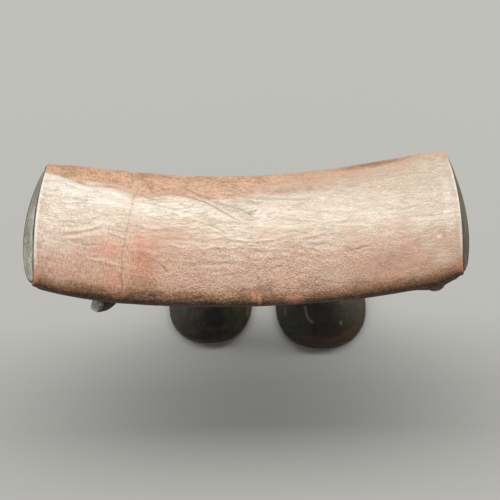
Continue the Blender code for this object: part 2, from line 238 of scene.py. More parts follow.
class SaddleForm:
    """The bent bar that the saddle is: stations run from -1 at the left end to 1 at the right end.

    A section's angle is 0 at the back edge, a quarter turn at the crown and a half turn at the front edge.
    """

    def __init__(self, sizes):
        self.sizes = sizes
        self.end_angle = 2 * math.atan2(sizes.rise, sizes.span / 2)
        self.radius = sizes.span / 2 / math.sin(self.end_angle)
        self.half_length = self.radius * self.end_angle
        self.shift = 0.0
        under = sizes.crown + sizes.belly
        ends = self.bend(np.array([-1.0, 1.0]), 0.0, under)
        self.shift = -ends[:, 0].sum() / 2
        self.cover_offset = sizes.clearance + sizes.cover
        turns = np.linspace(-math.pi / 2, 1.5 * math.pi, 4001)
        side, depth = self.section(0.0, turns)
        out_side, out_depth = self.normal(0.0, turns)
        side = side + self.cover_offset * out_side
        depth = depth + self.cover_offset * out_depth
        girth = np.concatenate(([0], np.cumsum(np.hypot(np.diff(side), np.diff(depth)))))
        self.turns = turns
        self.girths = np.interp(math.pi / 2, turns, girth) - girth
        self.sides = side

    def half_width(self, station):
        sizes = self.sizes
        narrowing = (sizes.end_width - sizes.width) / 2
        return sizes.width / 2 + narrowing * np.abs(station) ** sizes.taper

    def section(self, station, turn):
        """(across, depth) of the wood's surface."""
        sizes = self.sizes
        rise = np.sin(turn)
        fullness = np.where(rise >= 0, sizes.crown_fullness, sizes.belly_fullness)
        reach = np.where(rise >= 0, sizes.crown, sizes.belly)
        across = self.half_width(station) * signed_power(np.cos(turn), 2 / fullness)
        return across, sizes.crown - reach * signed_power(rise, 2 / fullness)

    def normal(self, station, turn):
        """Outward, as (across, depth)."""
        step = 0.02
        side_0, depth_0 = self.section(station, turn - step)
        side_1, depth_1 = self.section(station, turn + step)
        size = np.hypot(side_1 - side_0, depth_1 - depth_0)
        return -(depth_1 - depth_0) / size, (side_1 - side_0) / size

    def bend(self, station, across, depth):
        """The points in space of points of sections, on the arc that the saddle follows."""
        sizes = self.sizes
        bow = sizes.end_bow / self.radius * (across / self.half_width(station)) ** 2
        lean = np.where(station < 0, math.tan(sizes.left_lean), math.tan(sizes.right_lean))
        turn = station * (self.end_angle - bow + station**4 * lean * depth / self.radius)
        radius = self.radius + depth
        height = sizes.height + self.radius - radius * np.cos(turn)
        along = self.shift + radius * np.sin(turn)
        return np.stack(np.broadcast_arrays(along, across, height), axis=-1)

    def skin(self, station, turn, offset):
        """Points at a distance outside the wood."""
        across, depth = self.section(station, turn)
        out_side, out_depth = self.normal(station, turn)
        return self.bend(station, across + offset * out_side, depth + offset * out_depth)

    def frame(self, station, turn, offset):
        """A matrix at a point outside the wood, with Z straight out and X along the saddle."""
        out_side, out_depth = (float(value) for value in self.normal(station, turn))
        tilt = station * self.end_angle
        out = Vector((out_depth * math.sin(tilt), out_side, -out_depth * math.cos(tilt)))
        along = Vector((math.cos(tilt), 0, math.sin(tilt)))
        made = Matrix((along, out.cross(along), out)).transposed().to_4x4()
        made.translation = Vector(self.skin(station, turn, offset))
        return made

    def end_station(self, inset):
        return 1 - inset / self.half_length

    def station_of(self, x):
        """The station whose top lies over this distance from the saddle's middle."""
        return math.asin(x / self.radius) / self.end_angle

    def turn_at(self, girth):
        """The section angle at a distance round the cover from its crown line, back positive."""
        return np.interp(-girth, -self.girths, self.turns)

    def girth_at(self, across):
        """The distance round the cover of a point on its top."""
        top = (self.turns > 0) & (self.turns < math.pi)
        return np.interp(across, self.sides[top][::-1], self.girths[top][::-1])

    def lap_girth(self):
        """The distance round the cover from its crown line to the edge of its lap."""
        share = 1 - self.sizes.lap / self.half_width(0.0)
        below = math.acos(share ** (self.sizes.belly_fullness / 2))
        return float(np.interp(-below, self.turns, self.girths))

    def depth_under(self, points):
        """How far points lie inside the wood's underside, negative where they are outside."""
        x = points[..., 0] - self.shift
        drop = self.sizes.height + self.radius - points[..., 2]
        across = np.abs(points[..., 1])
        station = np.arctan2(x, drop) / self.end_angle
        share = np.clip(across / self.half_width(station), 0, 1)
        fullness = self.sizes.belly_fullness
        reach = self.sizes.belly * (1 - share**fullness) ** (1 / fullness)
        return self.radius + self.sizes.crown + reach - np.hypot(x, drop)


# Meshes

def object_from(name, points, faces, finish):
    """A smooth mesh object of one finish."""
    mesh = bpy.data.meshes.new(name)
    mesh.from_pydata([tuple(point) for point in points], [], faces)
    mesh.materials.append(finish)
    bm = bmesh.new()
    bm.from_mesh(mesh)
    bmesh.ops.recalc_face_normals(bm, faces=bm.faces)
    bm.to_mesh(mesh)
    bm.free()
    mesh.shade_smooth()
    made = bpy.data.objects.new(name, mesh)
    bpy.context.scene.collection.objects.link(made)
    return made


def set_vectors(made, name, vectors):
    layer = made.data.attributes.new(name, "FLOAT_VECTOR", "POINT")
    layer.data.foreach_set("vector", np.asarray(vectors, np.float32).ravel())


def set_values(made, name, values):
    layer = made.data.attributes.new(name, "FLOAT", "POINT")
    layer.data.foreach_set("value", np.asarray(values, np.float32).ravel())


def grid_faces(grid):
    """Quads between the points of a grid of point numbers."""
    quads = np.stack((grid[:-1, :-1], grid[1:, :-1], grid[1:, 1:], grid[:-1, 1:]), axis=-1)
    return quads.reshape(-1, 4).tolist()


def tube_faces(rows, sides):
    """Quads between rings of equally many points, ring after ring."""
    faces = []
    for row in range(rows - 1):
        for i in range(sides):
            j = (i + 1) % sides
            low, high = row * sides, (row + 1) * sides
            faces.append((low + i, low + j, high + j, high + i))
    return faces


def lathe(name, rings, finish):
    """A closed body through rings of points, with a fan at each end."""
    rows, sides, _ = rings.shape
    points = np.concatenate((rings.reshape(-1, 3), [rings[0].mean(0)], [rings[-1].mean(0)]))
    faces = tube_faces(rows, sides)
    first, last = rows * sides, rows * sides + 1
    top = (rows - 1) * sides
    for i in range(sides):
        j = (i + 1) % sides
        faces.append((first, j, i))
        faces.append((last, top + i, top + j))
    return object_from(name, points, faces, finish)


def dress(made, slot, *nodes):
    """Sets a piece on the headrest, in place of CAD nodes."""
    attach(made, BODY)
    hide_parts(*nodes)


# Materials

class Value:
    """A socket of a finish's node tree. Arithmetic on it adds Math nodes."""

    def __init__(self, finish, socket):
        self.finish = finish
        self.socket = socket

    def math(self, operation, first, second=0.0):
        return self.finish.node("ShaderNodeMath", {"operation": operation}, {0: first, 1: second})

    def __add__(self, other):
        return self.math("ADD", self, other)

    def __radd__(self, other):
        return self.math("ADD", other, self)

    def __sub__(self, other):
        return self.math("SUBTRACT", self, other)

    def __rsub__(self, other):
        return self.math("SUBTRACT", other, self)

    def __mul__(self, other):
        return self.math("MULTIPLY", self, other)

    def __rmul__(self, other):
        return self.math("MULTIPLY", other, self)

    def __abs__(self):
        return self.math("ABSOLUTE", self)


class Finish:
    """A material that is being made, and the one method that adds a node to it."""

    def __init__(self, name):
        self.material = bpy.data.materials.new(name)
        self.material.use_nodes = True
        self.tree = self.material.node_tree
        self.shader = self.tree.nodes["Principled BSDF"]

    def feed(self, socket, value):
        if isinstance(value, Value):
            self.tree.links.new(value.socket, socket)
        elif hasattr(value, "__len__") and len(value) == 3 and len(socket.default_value) == 4:
            socket.default_value = (*value, 1.0)
        else:
            socket.default_value = value

    def node(self, kind, settings=None, sockets=None, output=0):
        """Adds a node: its settings are set first, then the values or links of its sockets."""
        made = self.tree.nodes.new(kind)
        for key, value in (settings or {}).items():
            setattr(made, key, value)
        for key, value in (sockets or {}).items():
            self.feed(made.inputs[key], value)
        return Value(self, made.outputs[output])

    def surface(self, **sockets):
        """Values or links for the shader's own sockets, with spaces for underscores."""
        for key, value in sockets.items():
            self.feed(self.shader.inputs[key.replace("_", " ").title().replace("Ior", "IOR")], value)
        return self.material

    def parts(self, vector):
        first = self.node("ShaderNodeSeparateXYZ", None, {0: vector})
        return [Value(self, output) for output in first.socket.node.outputs]

    def attribute(self, name):
        return self.node("ShaderNodeAttribute", {"attribute_name": name}, output="Vector")

    def amount(self, name):
        return self.node("ShaderNodeAttribute", {"attribute_name": name}, output="Fac")

    def position(self):
        return self.node("ShaderNodeTexCoord", output="Object")

    def stretched(self, vector, scale):
        return self.node("ShaderNodeVectorMath", {"operation": "MULTIPLY"}, {0: vector, 1: scale})

    def clouds(self, vector, size, detail=3.0, distortion=0.0, stretch=None):
        """Noise of about this size in metres, from 0 to 1. A stretch under 1 draws it out on that axis."""
        if stretch is not None:
            vector = self.stretched(vector, stretch)
        return self.node(
            "ShaderNodeTexNoise",
            {"noise_dimensions": "3D"},
            {"Vector": vector, "Scale": 1 / size, "Detail": detail, "Distortion": distortion},
        )

    def dots(self, vector, size):
        """Distance from scattered points about this far apart, from 0 at each point."""
        return self.node("ShaderNodeTexVoronoi", None, {"Vector": vector, "Scale": 1 / size})

    def eased(self, value, low, high):
        """0 where the value is low, 1 where it is high. Low may be over high."""
        if low > high:
            return 1 - self.eased(value, high, low)
        return self.node(
            "ShaderNodeMapRange",
            {"interpolation_type": "SMOOTHSTEP"},
            {"Value": value, "From Min": low, "From Max": high},
        )

    def mixed(self, amount, first, second):
        """The first colour, and the second by this amount."""
        settings = {"data_type": "RGBA", "blend_type": "MIX"}
        return self.node("ShaderNodeMix", settings, {0: amount, 6: first, 7: second}, output=2)

    def layered(self, tone, *layers):
        """A colour with others laid over it in turn, each as its amount and its colour."""
        for amount, tint in layers:
            tone = self.mixed(amount, tone, tint)
        return tone

    def bumped(self, *layers):
        """A normal from heights from 0 to 1, each with the distance it stands for and its strength."""
        normal = {}
        for height, distance, strength in layers:
            sockets = {"Height": height, "Distance": distance, "Strength": strength}
            normal = {"Normal": self.node("ShaderNodeBump", None, {**sockets, **normal})}
        return normal["Normal"]


def shaded(tint, *shares):
    """A colour times one share, or times a share for each of its three parts."""
    return [part * share for part, share in zip(tint, shares * (3 // len(shares)))]


def leather_finish(colours, form):
    """A shrunk skin: pale and shiny where it is worn, tan at the back, brown and pitted at the front, with
    painted shade where it rolls under its edges and along its folds, and painted highlights on crests and
    glints.
    """
    finish = Finish("worn leather")
    eased = finish.eased
    along, girth, drift = finish.parts(finish.attribute("skin_place"))
    flat = finish.node("ShaderNodeCombineXYZ", None, {0: along, 1: drift})
    worn, red, ink_and_shade = finish.parts(finish.attribute("skin_wear_and_shade"))
    tan, dark, pitted = finish.parts(finish.attribute("skin_zone"))
    olive, bleached_and_highlight, lit = finish.parts(finish.attribute("skin_tint"))
    left = eased(along, -0.035, -0.060)
    right = eased(along, 0.020, 0.060)

    # Patches, lines, grain and pores
    cloud = finish.clouds(flat, 0.016, 4, 0.6, (0.7, 1, 1))
    blotch = finish.clouds(flat, 0.009, 3, 0.5)
    patch = finish.clouds(flat, 0.0055, 5, 0.8, (0.6, 1, 1))
    veins = finish.clouds(flat, 0.0050, 4, 0.6, (0.48, 1, 1))
    lines = finish.clouds(flat, 0.0012, 4, 0.8, (0.48, 1, 1))
    streaks = finish.clouds(flat, 0.0013, 4, 0.8, (0.30, 1, 1))
    contour = finish.clouds(flat, 0.0026, 3, 0.7, (0.26, 1, 1))
    wrinkle = eased(abs(contour - 0.5), 0.030, 0.004)
    crest = eased(abs(contour - 0.55), 0.030, 0.004)
    seam = finish.clouds(flat, 0.0055, 2, 0.6, (0.13, 1, 1))
    groove = eased(abs(seam - 0.5), 0.018, 0.004)
    brow = eased(abs(seam - 0.525), 0.020, 0.004)
    hatch = finish.clouds(flat, 0.00070, 3, 0.0, (1, 0.25, 1))
    grain = finish.clouds(flat, 0.00065, 3) * (1 - 0.8 * left) + 0.8 * left * hatch
    warp = finish.node(
        "ShaderNodeVectorMath",
        {"operation": "MULTIPLY_ADD"},
        {0: finish.node("ShaderNodeTexNoise", None, {"Vector": flat, "Scale": 900.0}, "Color"),
         1: (0.0010, 0.0010, 0), 2: flat},
    )
    pores = eased(finish.dots(finish.stretched(warp, (0.85, 1, 1)), 0.00095), 0.52, 0.18)
    specks = eased(finish.dots(finish.stretched(warp, (0.8, -1.1, 1)), 0.00105), 0.52, 0.15)
    pits = pores * pitted * (0.4 + 0.8 * grain)
    lights = specks * pitted * (1.2 - grain)

    # Brown skin, worn pale on the top, tan along the back edge
    brown = finish.layered(
        colours.brown,
        (eased(cloud, 0.3, 0.7), colours.rose),
        (0.30 * eased(patch, 0.40, 0.75), colours.ink_and_shade),
    )
    pale = finish.layered(
        colours.worn,
        (eased(cloud, 0.35, 0.70), colours.cream),
        (0.30 * eased(patch, 0.42, 0.75), colours.brown),
    )
    mottled = finish.layered(
        colours.tan,
        (0.80 * eased(veins, 0.40, 0.64), shaded(colours.tan, 0.55)),
        (0.50 * eased(lines, 0.50, 0.62), colours.umber),
        (0.42 * eased(lines, 0.46, 0.34), colours.fleck_and_highlight),
        ((0.22 + 0.10 * left) * pores, colours.umber),
    )
    pale_share = eased(bleached_and_highlight + 0.45 * (0.5 - patch), 0.0, 1.0) * eased(bleached_and_highlight, 0.0, 0.25)
    reddened = eased(red, 0.0, 1.0)
    tone = finish.layered(
        brown,
        (worn, pale),
        ((0.62 - 0.30 * worn) * right * eased(blotch, 0.50, 0.70), colours.rose),
        ((0.62 - 0.22 * worn) * right * eased(blotch, 0.50, 0.27), colours.olive),
        # Greyer patches, and painted shade beside the drawn folds
        (olive * 0.6, colours.olive),
        # Skin worn almost white, and painted glints and highlights
        (pale_share, colours.bleached_and_highlight),
        (tan, mottled),
        (reddened * eased(patch, 0.10, 0.50), colours.red),
    )

    # Dark hollows and pale crests of its grain, pores and wrinkles; on the wrinkles and seams these are
    # painted shade in the hollows and a painted highlight on the crests
    rough = (0.54 + 0.56 * pitted + 0.26 * left * (1 - worn)) * (1 - 0.30 * tan)
    calm = 1 - left * (0.35 + 0.35 * (1 - worn))
    creased = calm * (0.25 + 0.75 * eased(cloud, 0.36, 0.60)) * (1 - 0.5 * right)
    smooth_skin = (0.3 + 0.7 * worn) * (1 - 0.5 * pitted)
    # High is a painted highlight tint and low a painted shade tint, on worn and on unworn skin; both also
    # tint the grain
    high = finish.mixed(worn, colours.fleck_and_highlight, colours.bleached_and_highlight)
    low = finish.mixed(worn, colours.ink_and_shade, shaded(colours.olive, 0.55))
    tone = finish.layered(
        tone,
        (0.58 * rough * eased(grain, 0.50, 0.66), low),
        (0.66 * rough * eased(grain, 0.48, 0.34), high),
        (pits * 0.40, colours.ink_and_shade),
        (lights * 0.56, colours.fleck_and_highlight),
        (0.18 * calm * eased(streaks, 0.46, 0.68), low),
        (0.33 * creased * wrinkle, low),
        (0.50 * creased * crest, high),
        (0.36 * smooth_skin * groove, low),
        (0.42 * smooth_skin * brow, high),
        # Painted shade and painted highlight on the sides of crumples and folds
        (0.46 * eased(lit, 0.0, -1.0), low),
        (0.52 * eased(lit, 0.0, 1.0), high),
    )

    # The painted shade of the front edge and under the back edge, raw scuffs, the drawn creases, and the
    # pale rims of the cut ends, partly the raw cut edge and partly a painted highlight
    speckle = (pores - specks) * 0.30 + (pits - lights) * 0.25 + (grain - 0.5) * 0.9
    # Shares of painted shade: umber where the skin rolls over the front edge, shadow deeper under it and
    # under the back edge
    umber = eased(dark + (cloud - 0.5) * 0.35 + 0.9 * speckle * dark, 0.05, 0.62)
    shadow = eased(dark + (patch - 0.5) * 0.3 + (streaks - 0.5) * 0.8 + 0.45 * speckle, 0.52, 1.05)
    spared = 1 - 0.8 * reddened
    crease = finish.mixed(worn, colours.ink_and_shade, shaded(colours.olive, 0.40))
    # The pale rims of the cut ends: the raw cut edge and a painted highlight
    rim = eased(form.half_length - abs(along), 0.0018, 0.0004) * eased(abs(girth), 0.032, 0.018)
    tone = finish.layered(
        tone,
        (umber * spared * 0.86, colours.umber),
        (shadow * spared, colours.dark),
        (0.14 * specks * umber, colours.brown),
        (0.85 * eased(red, 1.0, 1.8), colours.salmon),
        # Ink: painted shade along the drawn folds, and the dark of cracks and scratches
        (ink_and_shade, crease),
        (rim * (0.45 + 0.25 * left), colours.bleached_and_highlight),
    )

    uneven = 0.10 * (streaks - 0.5) + 0.22 * (patch - 0.5) + 0.10 * (grain - 0.5)
    gloss = 0.46 - 0.19 * worn + 0.12 * pits + 0.30 * umber + uneven
    normal = finish.bumped(
        (streaks, 0.00012, 0.3),
        ((crest - wrinkle) * creased, 0.00010, 0.5),
        (grain, 0.00018, 0.6),
        (lights - pits, 0.00018, 0.8),
    )
    return finish.surface(base_color=tone, roughness=gloss, normal=normal, specular_ior_level=0.70)


def black_wood_finish(colours):
    """Wood blackened by smoke and hands, with its grain along the saddle, and grey end faces of scraped
    wood and painted sheen; the lug's facet carries a painted reflection and a painted glint.
    """
    finish = Finish("blackened wood")
    eased = finish.eased
    spot = finish.position()
    face = finish.amount("scraped_and_sheen")
    arris = finish.amount("arris")
    grain = finish.clouds(spot, 0.0018, 4, 0.3, (0.06, 1, 1))
    blotch = finish.clouds(spot, 0.009, 4, 0.5)
    scrape = finish.clouds(spot, 0.0008, 4, 0.4, (1, 0.06, 1))
    chip = finish.clouds(spot, 0.0042, 4, 0.8, (1, 0.22, 1))
    speck = finish.clouds(spot, 0.0011, 3)
    rubbed_and_sheen = 0.65 * scrape + 0.35 * chip
    # The grey of the end faces: scraped wood and painted sheen; over 1.05 the palest grey is the painted
    # glint of the lug's facet and tip
    dust_and_sheen = finish.layered(
        shaded(colours.scraped_and_sheen, 0.40),
        (eased(rubbed_and_sheen, 0.40, 0.58), colours.scraped_and_sheen),
        (eased(face, 0.9, 0.5), shaded(colours.scraped_and_sheen, 0.52)),
        (eased(face, 0.53, 0.44), shaded(colours.scraped_and_sheen, 0.54, 0.485, 0.30)),
        (eased(face, 1.05, 1.6), [min(part, 1.0) for part in shaded(colours.scraped_and_sheen, 2.05)]),
        (0.55 * eased(speck, 0.50, 0.68), colours.bark),
    )
    dust_and_sheen_share = eased(face + 0.9 * (rubbed_and_sheen - 0.5) + 0.25 * (blotch - 0.5), 0.18, 0.70)
    dust_and_sheen_share = dust_and_sheen_share * eased(face, 0.05, 0.30)
    tone = finish.layered(
        colours.black,
        (eased(grain * 0.6 + blotch * 0.5, 0.45, 0.75), colours.bark),
        (dust_and_sheen_share, dust_and_sheen),
        (arris * eased(blotch, 0.35, 0.6), colours.bark),
    )
    gloss = 0.34 + 0.25 * blotch + 0.10 * dust_and_sheen_share
    normal = finish.bumped((grain, 0.00020, 0.6), (rubbed_and_sheen * face, 0.00040, 0.8))
    return finish.surface(base_color=tone, roughness=gloss, normal=normal, specular_ior_level=0.25)


def leg_finish(colours):
    """Dark handled legs: black in the hollows of the blade, brown on worn ridges and rims, a patchy
    painted sheen on the left flanks and an olive stain on the right flanks, pale painted glints, rusty
    smears, and painted shade on the columns.
    """
    finish = Finish("handled leg wood")
    eased = finish.eased
    spot = finish.position()
    height = finish.parts(spot)[2]
    marks, flank, glint_and_smear = finish.parts(finish.attribute("leg_marks"))
    grain = finish.clouds(spot, 0.0016, 4, 0.3, (1, 1, 0.07))
    cloud = finish.clouds(spot, 0.020, 4, 0.6, (1, 1, 0.32))
    blotch = finish.clouds(spot, 0.008, 6, 0.8, (1, 1, 0.32))
    rim = eased(height, 0.018, 0.004) * eased(blotch, 0.30, 0.56)
    worn = 0.8 * rim + 0.75 * eased(0.6 * cloud + 0.5 * blotch, 0.48, 0.74)
    worn = worn + 0.3 * eased(marks, 0.55, 0.95)
    patchy = 0.50 + 0.50 * eased(cloud + 0.5 * blotch, 0.88, 0.56)
    tone = finish.layered(
        colours.black,
        (eased(worn, 0.0, 1.3), colours.bark),
        # Painted sheen on the left flanks; an olive stain on the right flanks
        (patchy * eased(flank, 0.0, 1.0), colours.flank_sheen),
        (patchy * eased(flank, 0.0, -1.0), colours.stain),
        (0.6 * eased(grain, 0.48, 0.70), colours.black),
        # Painted shade: the columns turn black under the saddle
        (0.8 * eased(height, 0.026, 0.042), colours.black),
        (-1 * glint_and_smear * eased(blotch, 0.72, 0.36), shaded(colours.bark, 2.0, 1.5, 1.3)),
        # Pale painted glints
        (glint_and_smear * eased(blotch, 0.30, 0.55), colours.scraped_and_sheen),
    )
    gloss = 0.22 + 0.34 * eased(blotch, 0.35, 0.65)
    normal = finish.bumped((grain, 0.00024, 0.6), (blotch, 0.0007, 0.6))
    return finish.surface(base_color=tone, roughness=gloss, normal=normal, specular_ior_level=0.27)


def whittled_finish(name, tint, deep):
    """Plain knife-cut wood with a fine grain."""
    finish = Finish(name)
    spot = finish.position()
    grain = finish.clouds(spot, 0.0007, 4, 0.4, (1, 0.2, 1))
    blotch = finish.clouds(spot, 0.004, 3)
    tone = finish.mixed(finish.eased(grain * 0.6 + blotch * 0.5, 0.4, 0.75), tint, deep)
    normal = finish.bumped((grain, 0.00015, 0.7))
    return finish.surface(base_color=tone, roughness=0.42 + 0.2 * blotch, normal=normal)


def floor_finish(tint):
    """A plain pale floor."""
    finish = Finish("pale floor")
    cloud = finish.clouds(finish.position(), 0.6, 2)
    return finish.surface(base_color=finish.mixed(cloud, tint, shaded(tint, 0.97)), roughness=0.75)


# Relief of the leather

class Fold:
    """A line drawn on the skin: points along and across the saddle, in millimetres.

    A height under 0 is a crease, which ink darkens: painted shade along a fold, and the dark of a crack or
    scratch. A step lifts the side on the line's left.
    """

    def __init__(self, points, height, width, step=0.0, ink_and_shade=0.0):
        self.points = points
        self.height = height
        self.width = width
        self.step = step
        self.ink_and_shade = ink_and_shade

    def press(self, along, girth, form):
        """The relief, the ink and the pale share of this line at points of the skin; the pale share is a
        painted highlight on raised folds.
        """
        line = np.array(self.points, float)
        line[:, 1] = form.girth_at(line[:, 1] * MM) / MM
        nearest = np.full(along.shape, np.inf)
        side = np.zeros(along.shape)
        way = np.zeros(along.shape)
        for i, (start, end) in enumerate(zip(line, line[1:])):
            run = end - start
            to_x, to_y = along - start[0], girth - start[1]
            share = np.clip((to_x * run[0] + to_y * run[1]) / (run @ run), 0, 1)
            away = np.hypot(to_x - share * run[0], to_y - share * run[1])
            turn = np.sign(run[0] * to_y - run[1] * to_x)
            closer = away < nearest
            nearest = np.where(closer, away, nearest)
            side = np.where(closer, turn, side)
            way = np.where(closer, (i + share) / (len(line) - 1), way)
        fade = np.clip(5 * way, 0, 1) * np.clip(5 * (1 - way), 0, 1)
        shape = np.exp(-((nearest / self.width) ** 2))
        slope = side * nearest / self.width * np.exp(-nearest / (2.5 * self.width))
        crest_highlight = fade * shape * np.clip(2.6 * self.height, 0, 0.5)
        return fade * (self.height * shape + self.step * slope), fade * self.ink_and_shade * shape, crest_highlight


FOLDS = (
    # The crease across the skin near the left end
    Fold(((-57, 30), (-55, 22), (-56.8, 17.4), (-57.6, 9), (-58.6, 0), (-59.2, -4), (-59.8, -9),
          (-61, -15), (-60.6, -20), (-61.2, -25), (-60.6, -29), (-61, -32), (-61, -34)),
         -0.15, 0.40, 0.07, 0.72),
    Fold(((-59.4, -6), (-61, -15), (-60.6, -20), (-61.2, -25), (-60.6, -29), (-61, -34)),
         -0.05, 0.38, 0.0, 0.66),
    # The ridge at the edge of the worn skin, with a dark line behind it
    Fold(((-101, 26), (-92, 22.8), (-84, 20.6), (-76, 19.2), (-68, 19.4), (-61, 17.8), (-56, 16.4)),
         0.20, 1.0),
    Fold(((-92, 24.6), (-86, 22.6), (-80, 21.4), (-74, 21.6), (-68, 22), (-60, 19.8)),
         -0.12, 0.5, 0.0, 0.46),
    Fold(((-94, 24.8), (-87, 23.9), (-80, 23), (-73, 23), (-65, 22.7), (-59.4, 21.2), (-54.5, 20),
          (-49, 19.7)),
         0.24, 0.5),
    Fold(((-56, 20.2), (-51, 18), (-46, 16.8), (-38, 17.6)), -0.15, 0.40, -0.08, 0.75),
    Fold(((-50, 21.5), (-44, 20), (-36, 21), (-28, 20.6)), -0.12, 0.6, 0.0, 0.25),
    # Folds drawn down to the middle
    Fold(((-46, 21.5), (-36, 20.6), (-28, 19), (-21, 16.8), (-16, 13.8), (-11, 10.6), (-6, 7.4), (-2, 6)),
         -0.22, 0.42, -0.26, 0.95),
    Fold(((-21, 18.4), (-16, 16.8), (-11, 15.2), (-6, 13.6), (-2, 11.8), (1.4, 9.4), (4, 7)),
         -0.22, 0.42, -0.22, 0.92),
    Fold(((-38, 27), (-30, 24), (-26, 21.6), (-22, 20), (-16, 17.4)), -0.18, 0.40, -0.16, 0.85),
    Fold(((-13, 25), (-6, 22.4), (-3, 20.4), (2.4, 16.8), (8, 13.2)), -0.17, 0.40, -0.16, 0.78),
    Fold(((-5, 21), (6, 19), (16, 17.8), (26, 16.2), (36, 16)), -0.12, 0.40, -0.12, 0.60),
    Fold(((-48, 17), (-38, 17), (-29, 14.6), (-21, 11.4), (-14, 7.8), (-7, 4.6)), 0.34, 3.0),
    Fold(((-26, 19), (-18, 16.4), (-10, 13.6), (-4, 9.6)), -0.20, 1.5),
    Fold(((-20, 21), (-12, 18.4), (-4, 15.2), (3, 11)), 0.16, 1.6),
    Fold(((-8, 16.6), (0, 13.2), (8, 11), (20, 10)), 0.20, 2.4),
    Fold(((-94, 21), (-84, 17.4), (-74, 15), (-62, 12.6)), 0.16, 3.0),
    Fold(((-58, 3), (-46, 1.4), (-33, 1.6), (-22, 2.6), (-10, 1), (6, -1)), 0.10, 2.4),
    Fold(((-20, 4.5), (-15, 2), (-11, -0.5)), -0.14, 0.4, 0.0, 0.25),
    Fold(((-20, 2), (-15, -0.5), (-11, -2)), -0.14, 0.4, 0.0, 0.25),
    Fold(((-24, 5.5), (-18, 3.4), (-13, 1)), -0.12, 0.4, 0.0, 0.2),
    # Ridges that run to the pucker near the left end
    Fold(((-70, 5), (-70.5, 2), (-73, -0.6), (-79, -3), (-86, -5.4), (-95, -7.6)), 0.14, 0.8, 0.04),
    Fold(((-72, 5.6), (-77, 3.4), (-83, 1.2), (-91, -0.6)), 0.09, 0.8),
    Fold(((-73.5, 2), (-78, -0.2), (-84, -2.4), (-92, -4)), -0.08, 0.6, 0.0, 0.15),
    Fold(((-69, -4.4), (-75, -5.8), (-82, -8), (-91, -10.6)), 0.09, 0.8, 0.03),
    Fold(((-71, -1.6), (-76, -3.8), (-83, -6.2), (-91, -8.8)), -0.08, 0.6, 0.0, 0.20),
    Fold(((-68, -2.8), (-63, -4.2), (-58, -5.6)), 0.13, 0.6),
    Fold(((-66, -0.6), (-62, -1.4), (-58.5, -1.2)), 0.14, 0.5),
    Fold(((-57, 4), (-52, 1.6), (-46, 0.6), (-38, 2)), 0.08, 0.7),
    Fold(((-57, 0.5), (-50, -1.5), (-43, -3), (-36, -3.4)), 0.08, 0.6),
    Fold(((-79.5, 17), (-79, 12), (-79.5, 7)), -0.12, 0.42, 0.0, 0.48),
    Fold(((-80, -11.5), (-76, -11.2), (-72.5, -10)), -0.14, 0.4, 0.0, 0.3),
    Fold(((-84, -14), (-76, -17.6), (-66, -18.4), (-56, -20.5)), 0.12, 0.7),
    # Cracks and scratches
    Fold(((-47, -14.4), (-44.5, -15.6), (-42, -17.3), (-40, -19.5), (-38.3, -22)), -0.20, 0.42, 0.0, 0.95),
    Fold(((47, -11), (49.5, -13.2), (53, -16)), -0.14, 0.42, 0.0, 0.70),
    Fold(((51, -13.6), (55, -12.7), (59.5, -12.5)), -0.18, 0.42, 0.0, 0.85),
    # Long lines of the middle and the right half
    Fold(((12, 7.2), (20, 5.6), (26, 4.4), (33, 3)), -0.10, 0.38, 0.0, 0.50),
    Fold(((41, 1.2), (48, 1.4), (54, 0.6), (60, 1)), -0.09, 0.36, 0.0, 0.50),
    Fold(((19, 0), (25, -1.5), (32, -3.6)), -0.10, 0.38, 0.0, 0.45),
    Fold(((-26, -6.5), (-22, -8.8), (-17, -7.2), (-9, -8.4), (-2, -7)), 0.20, 0.6),
    Fold(((-40, -6), (-33, -8), (-27, -7.4)), 0.16, 0.6),
    Fold(((-14, -1), (-6, -4), (4, -5), (14, -4.4)), 0.16, 0.6),
    Fold(((-24, -15.6), (-18, -16.6), (-11, -15.4), (-4, -17), (2, -19)), -0.10, 0.38, 0.0, 0.32),
    Fold(((9, -19.2), (15, -18.4), (21, -18.6)), -0.10, 0.38, 0.0, 0.32),
    Fold(((-13, -21.6), (-7, -21.6), (-2, -20.4)), -0.14, 0.4, 0.0, 0.35),
    Fold(((-10, 9), (2, 4), (14, 1), (30, 0.5)), 0.10, 1.2),
    Fold(((22, 10.5), (36, 9), (52, 10), (70, 9)), 0.08, 0.9),
    Fold(((36, 6.4), (50, 5.6), (66, 6.8), (84, 8)), -0.08, 0.6, 0.0, 0.20),
)


def ridges(along, girth, long, short, seed):
    """Meandering ridges, longer along the saddle than across it, from about -1 to 1."""
    return 1 - 3.2 * np.abs(noise_at(along / long, girth / short, seed))


def drifted(along, girth):
    """The distance round the skin, sheared on the right half, where its lines drift to the front."""
    return girth + 0.13 * np.maximum(along - 20, 0)


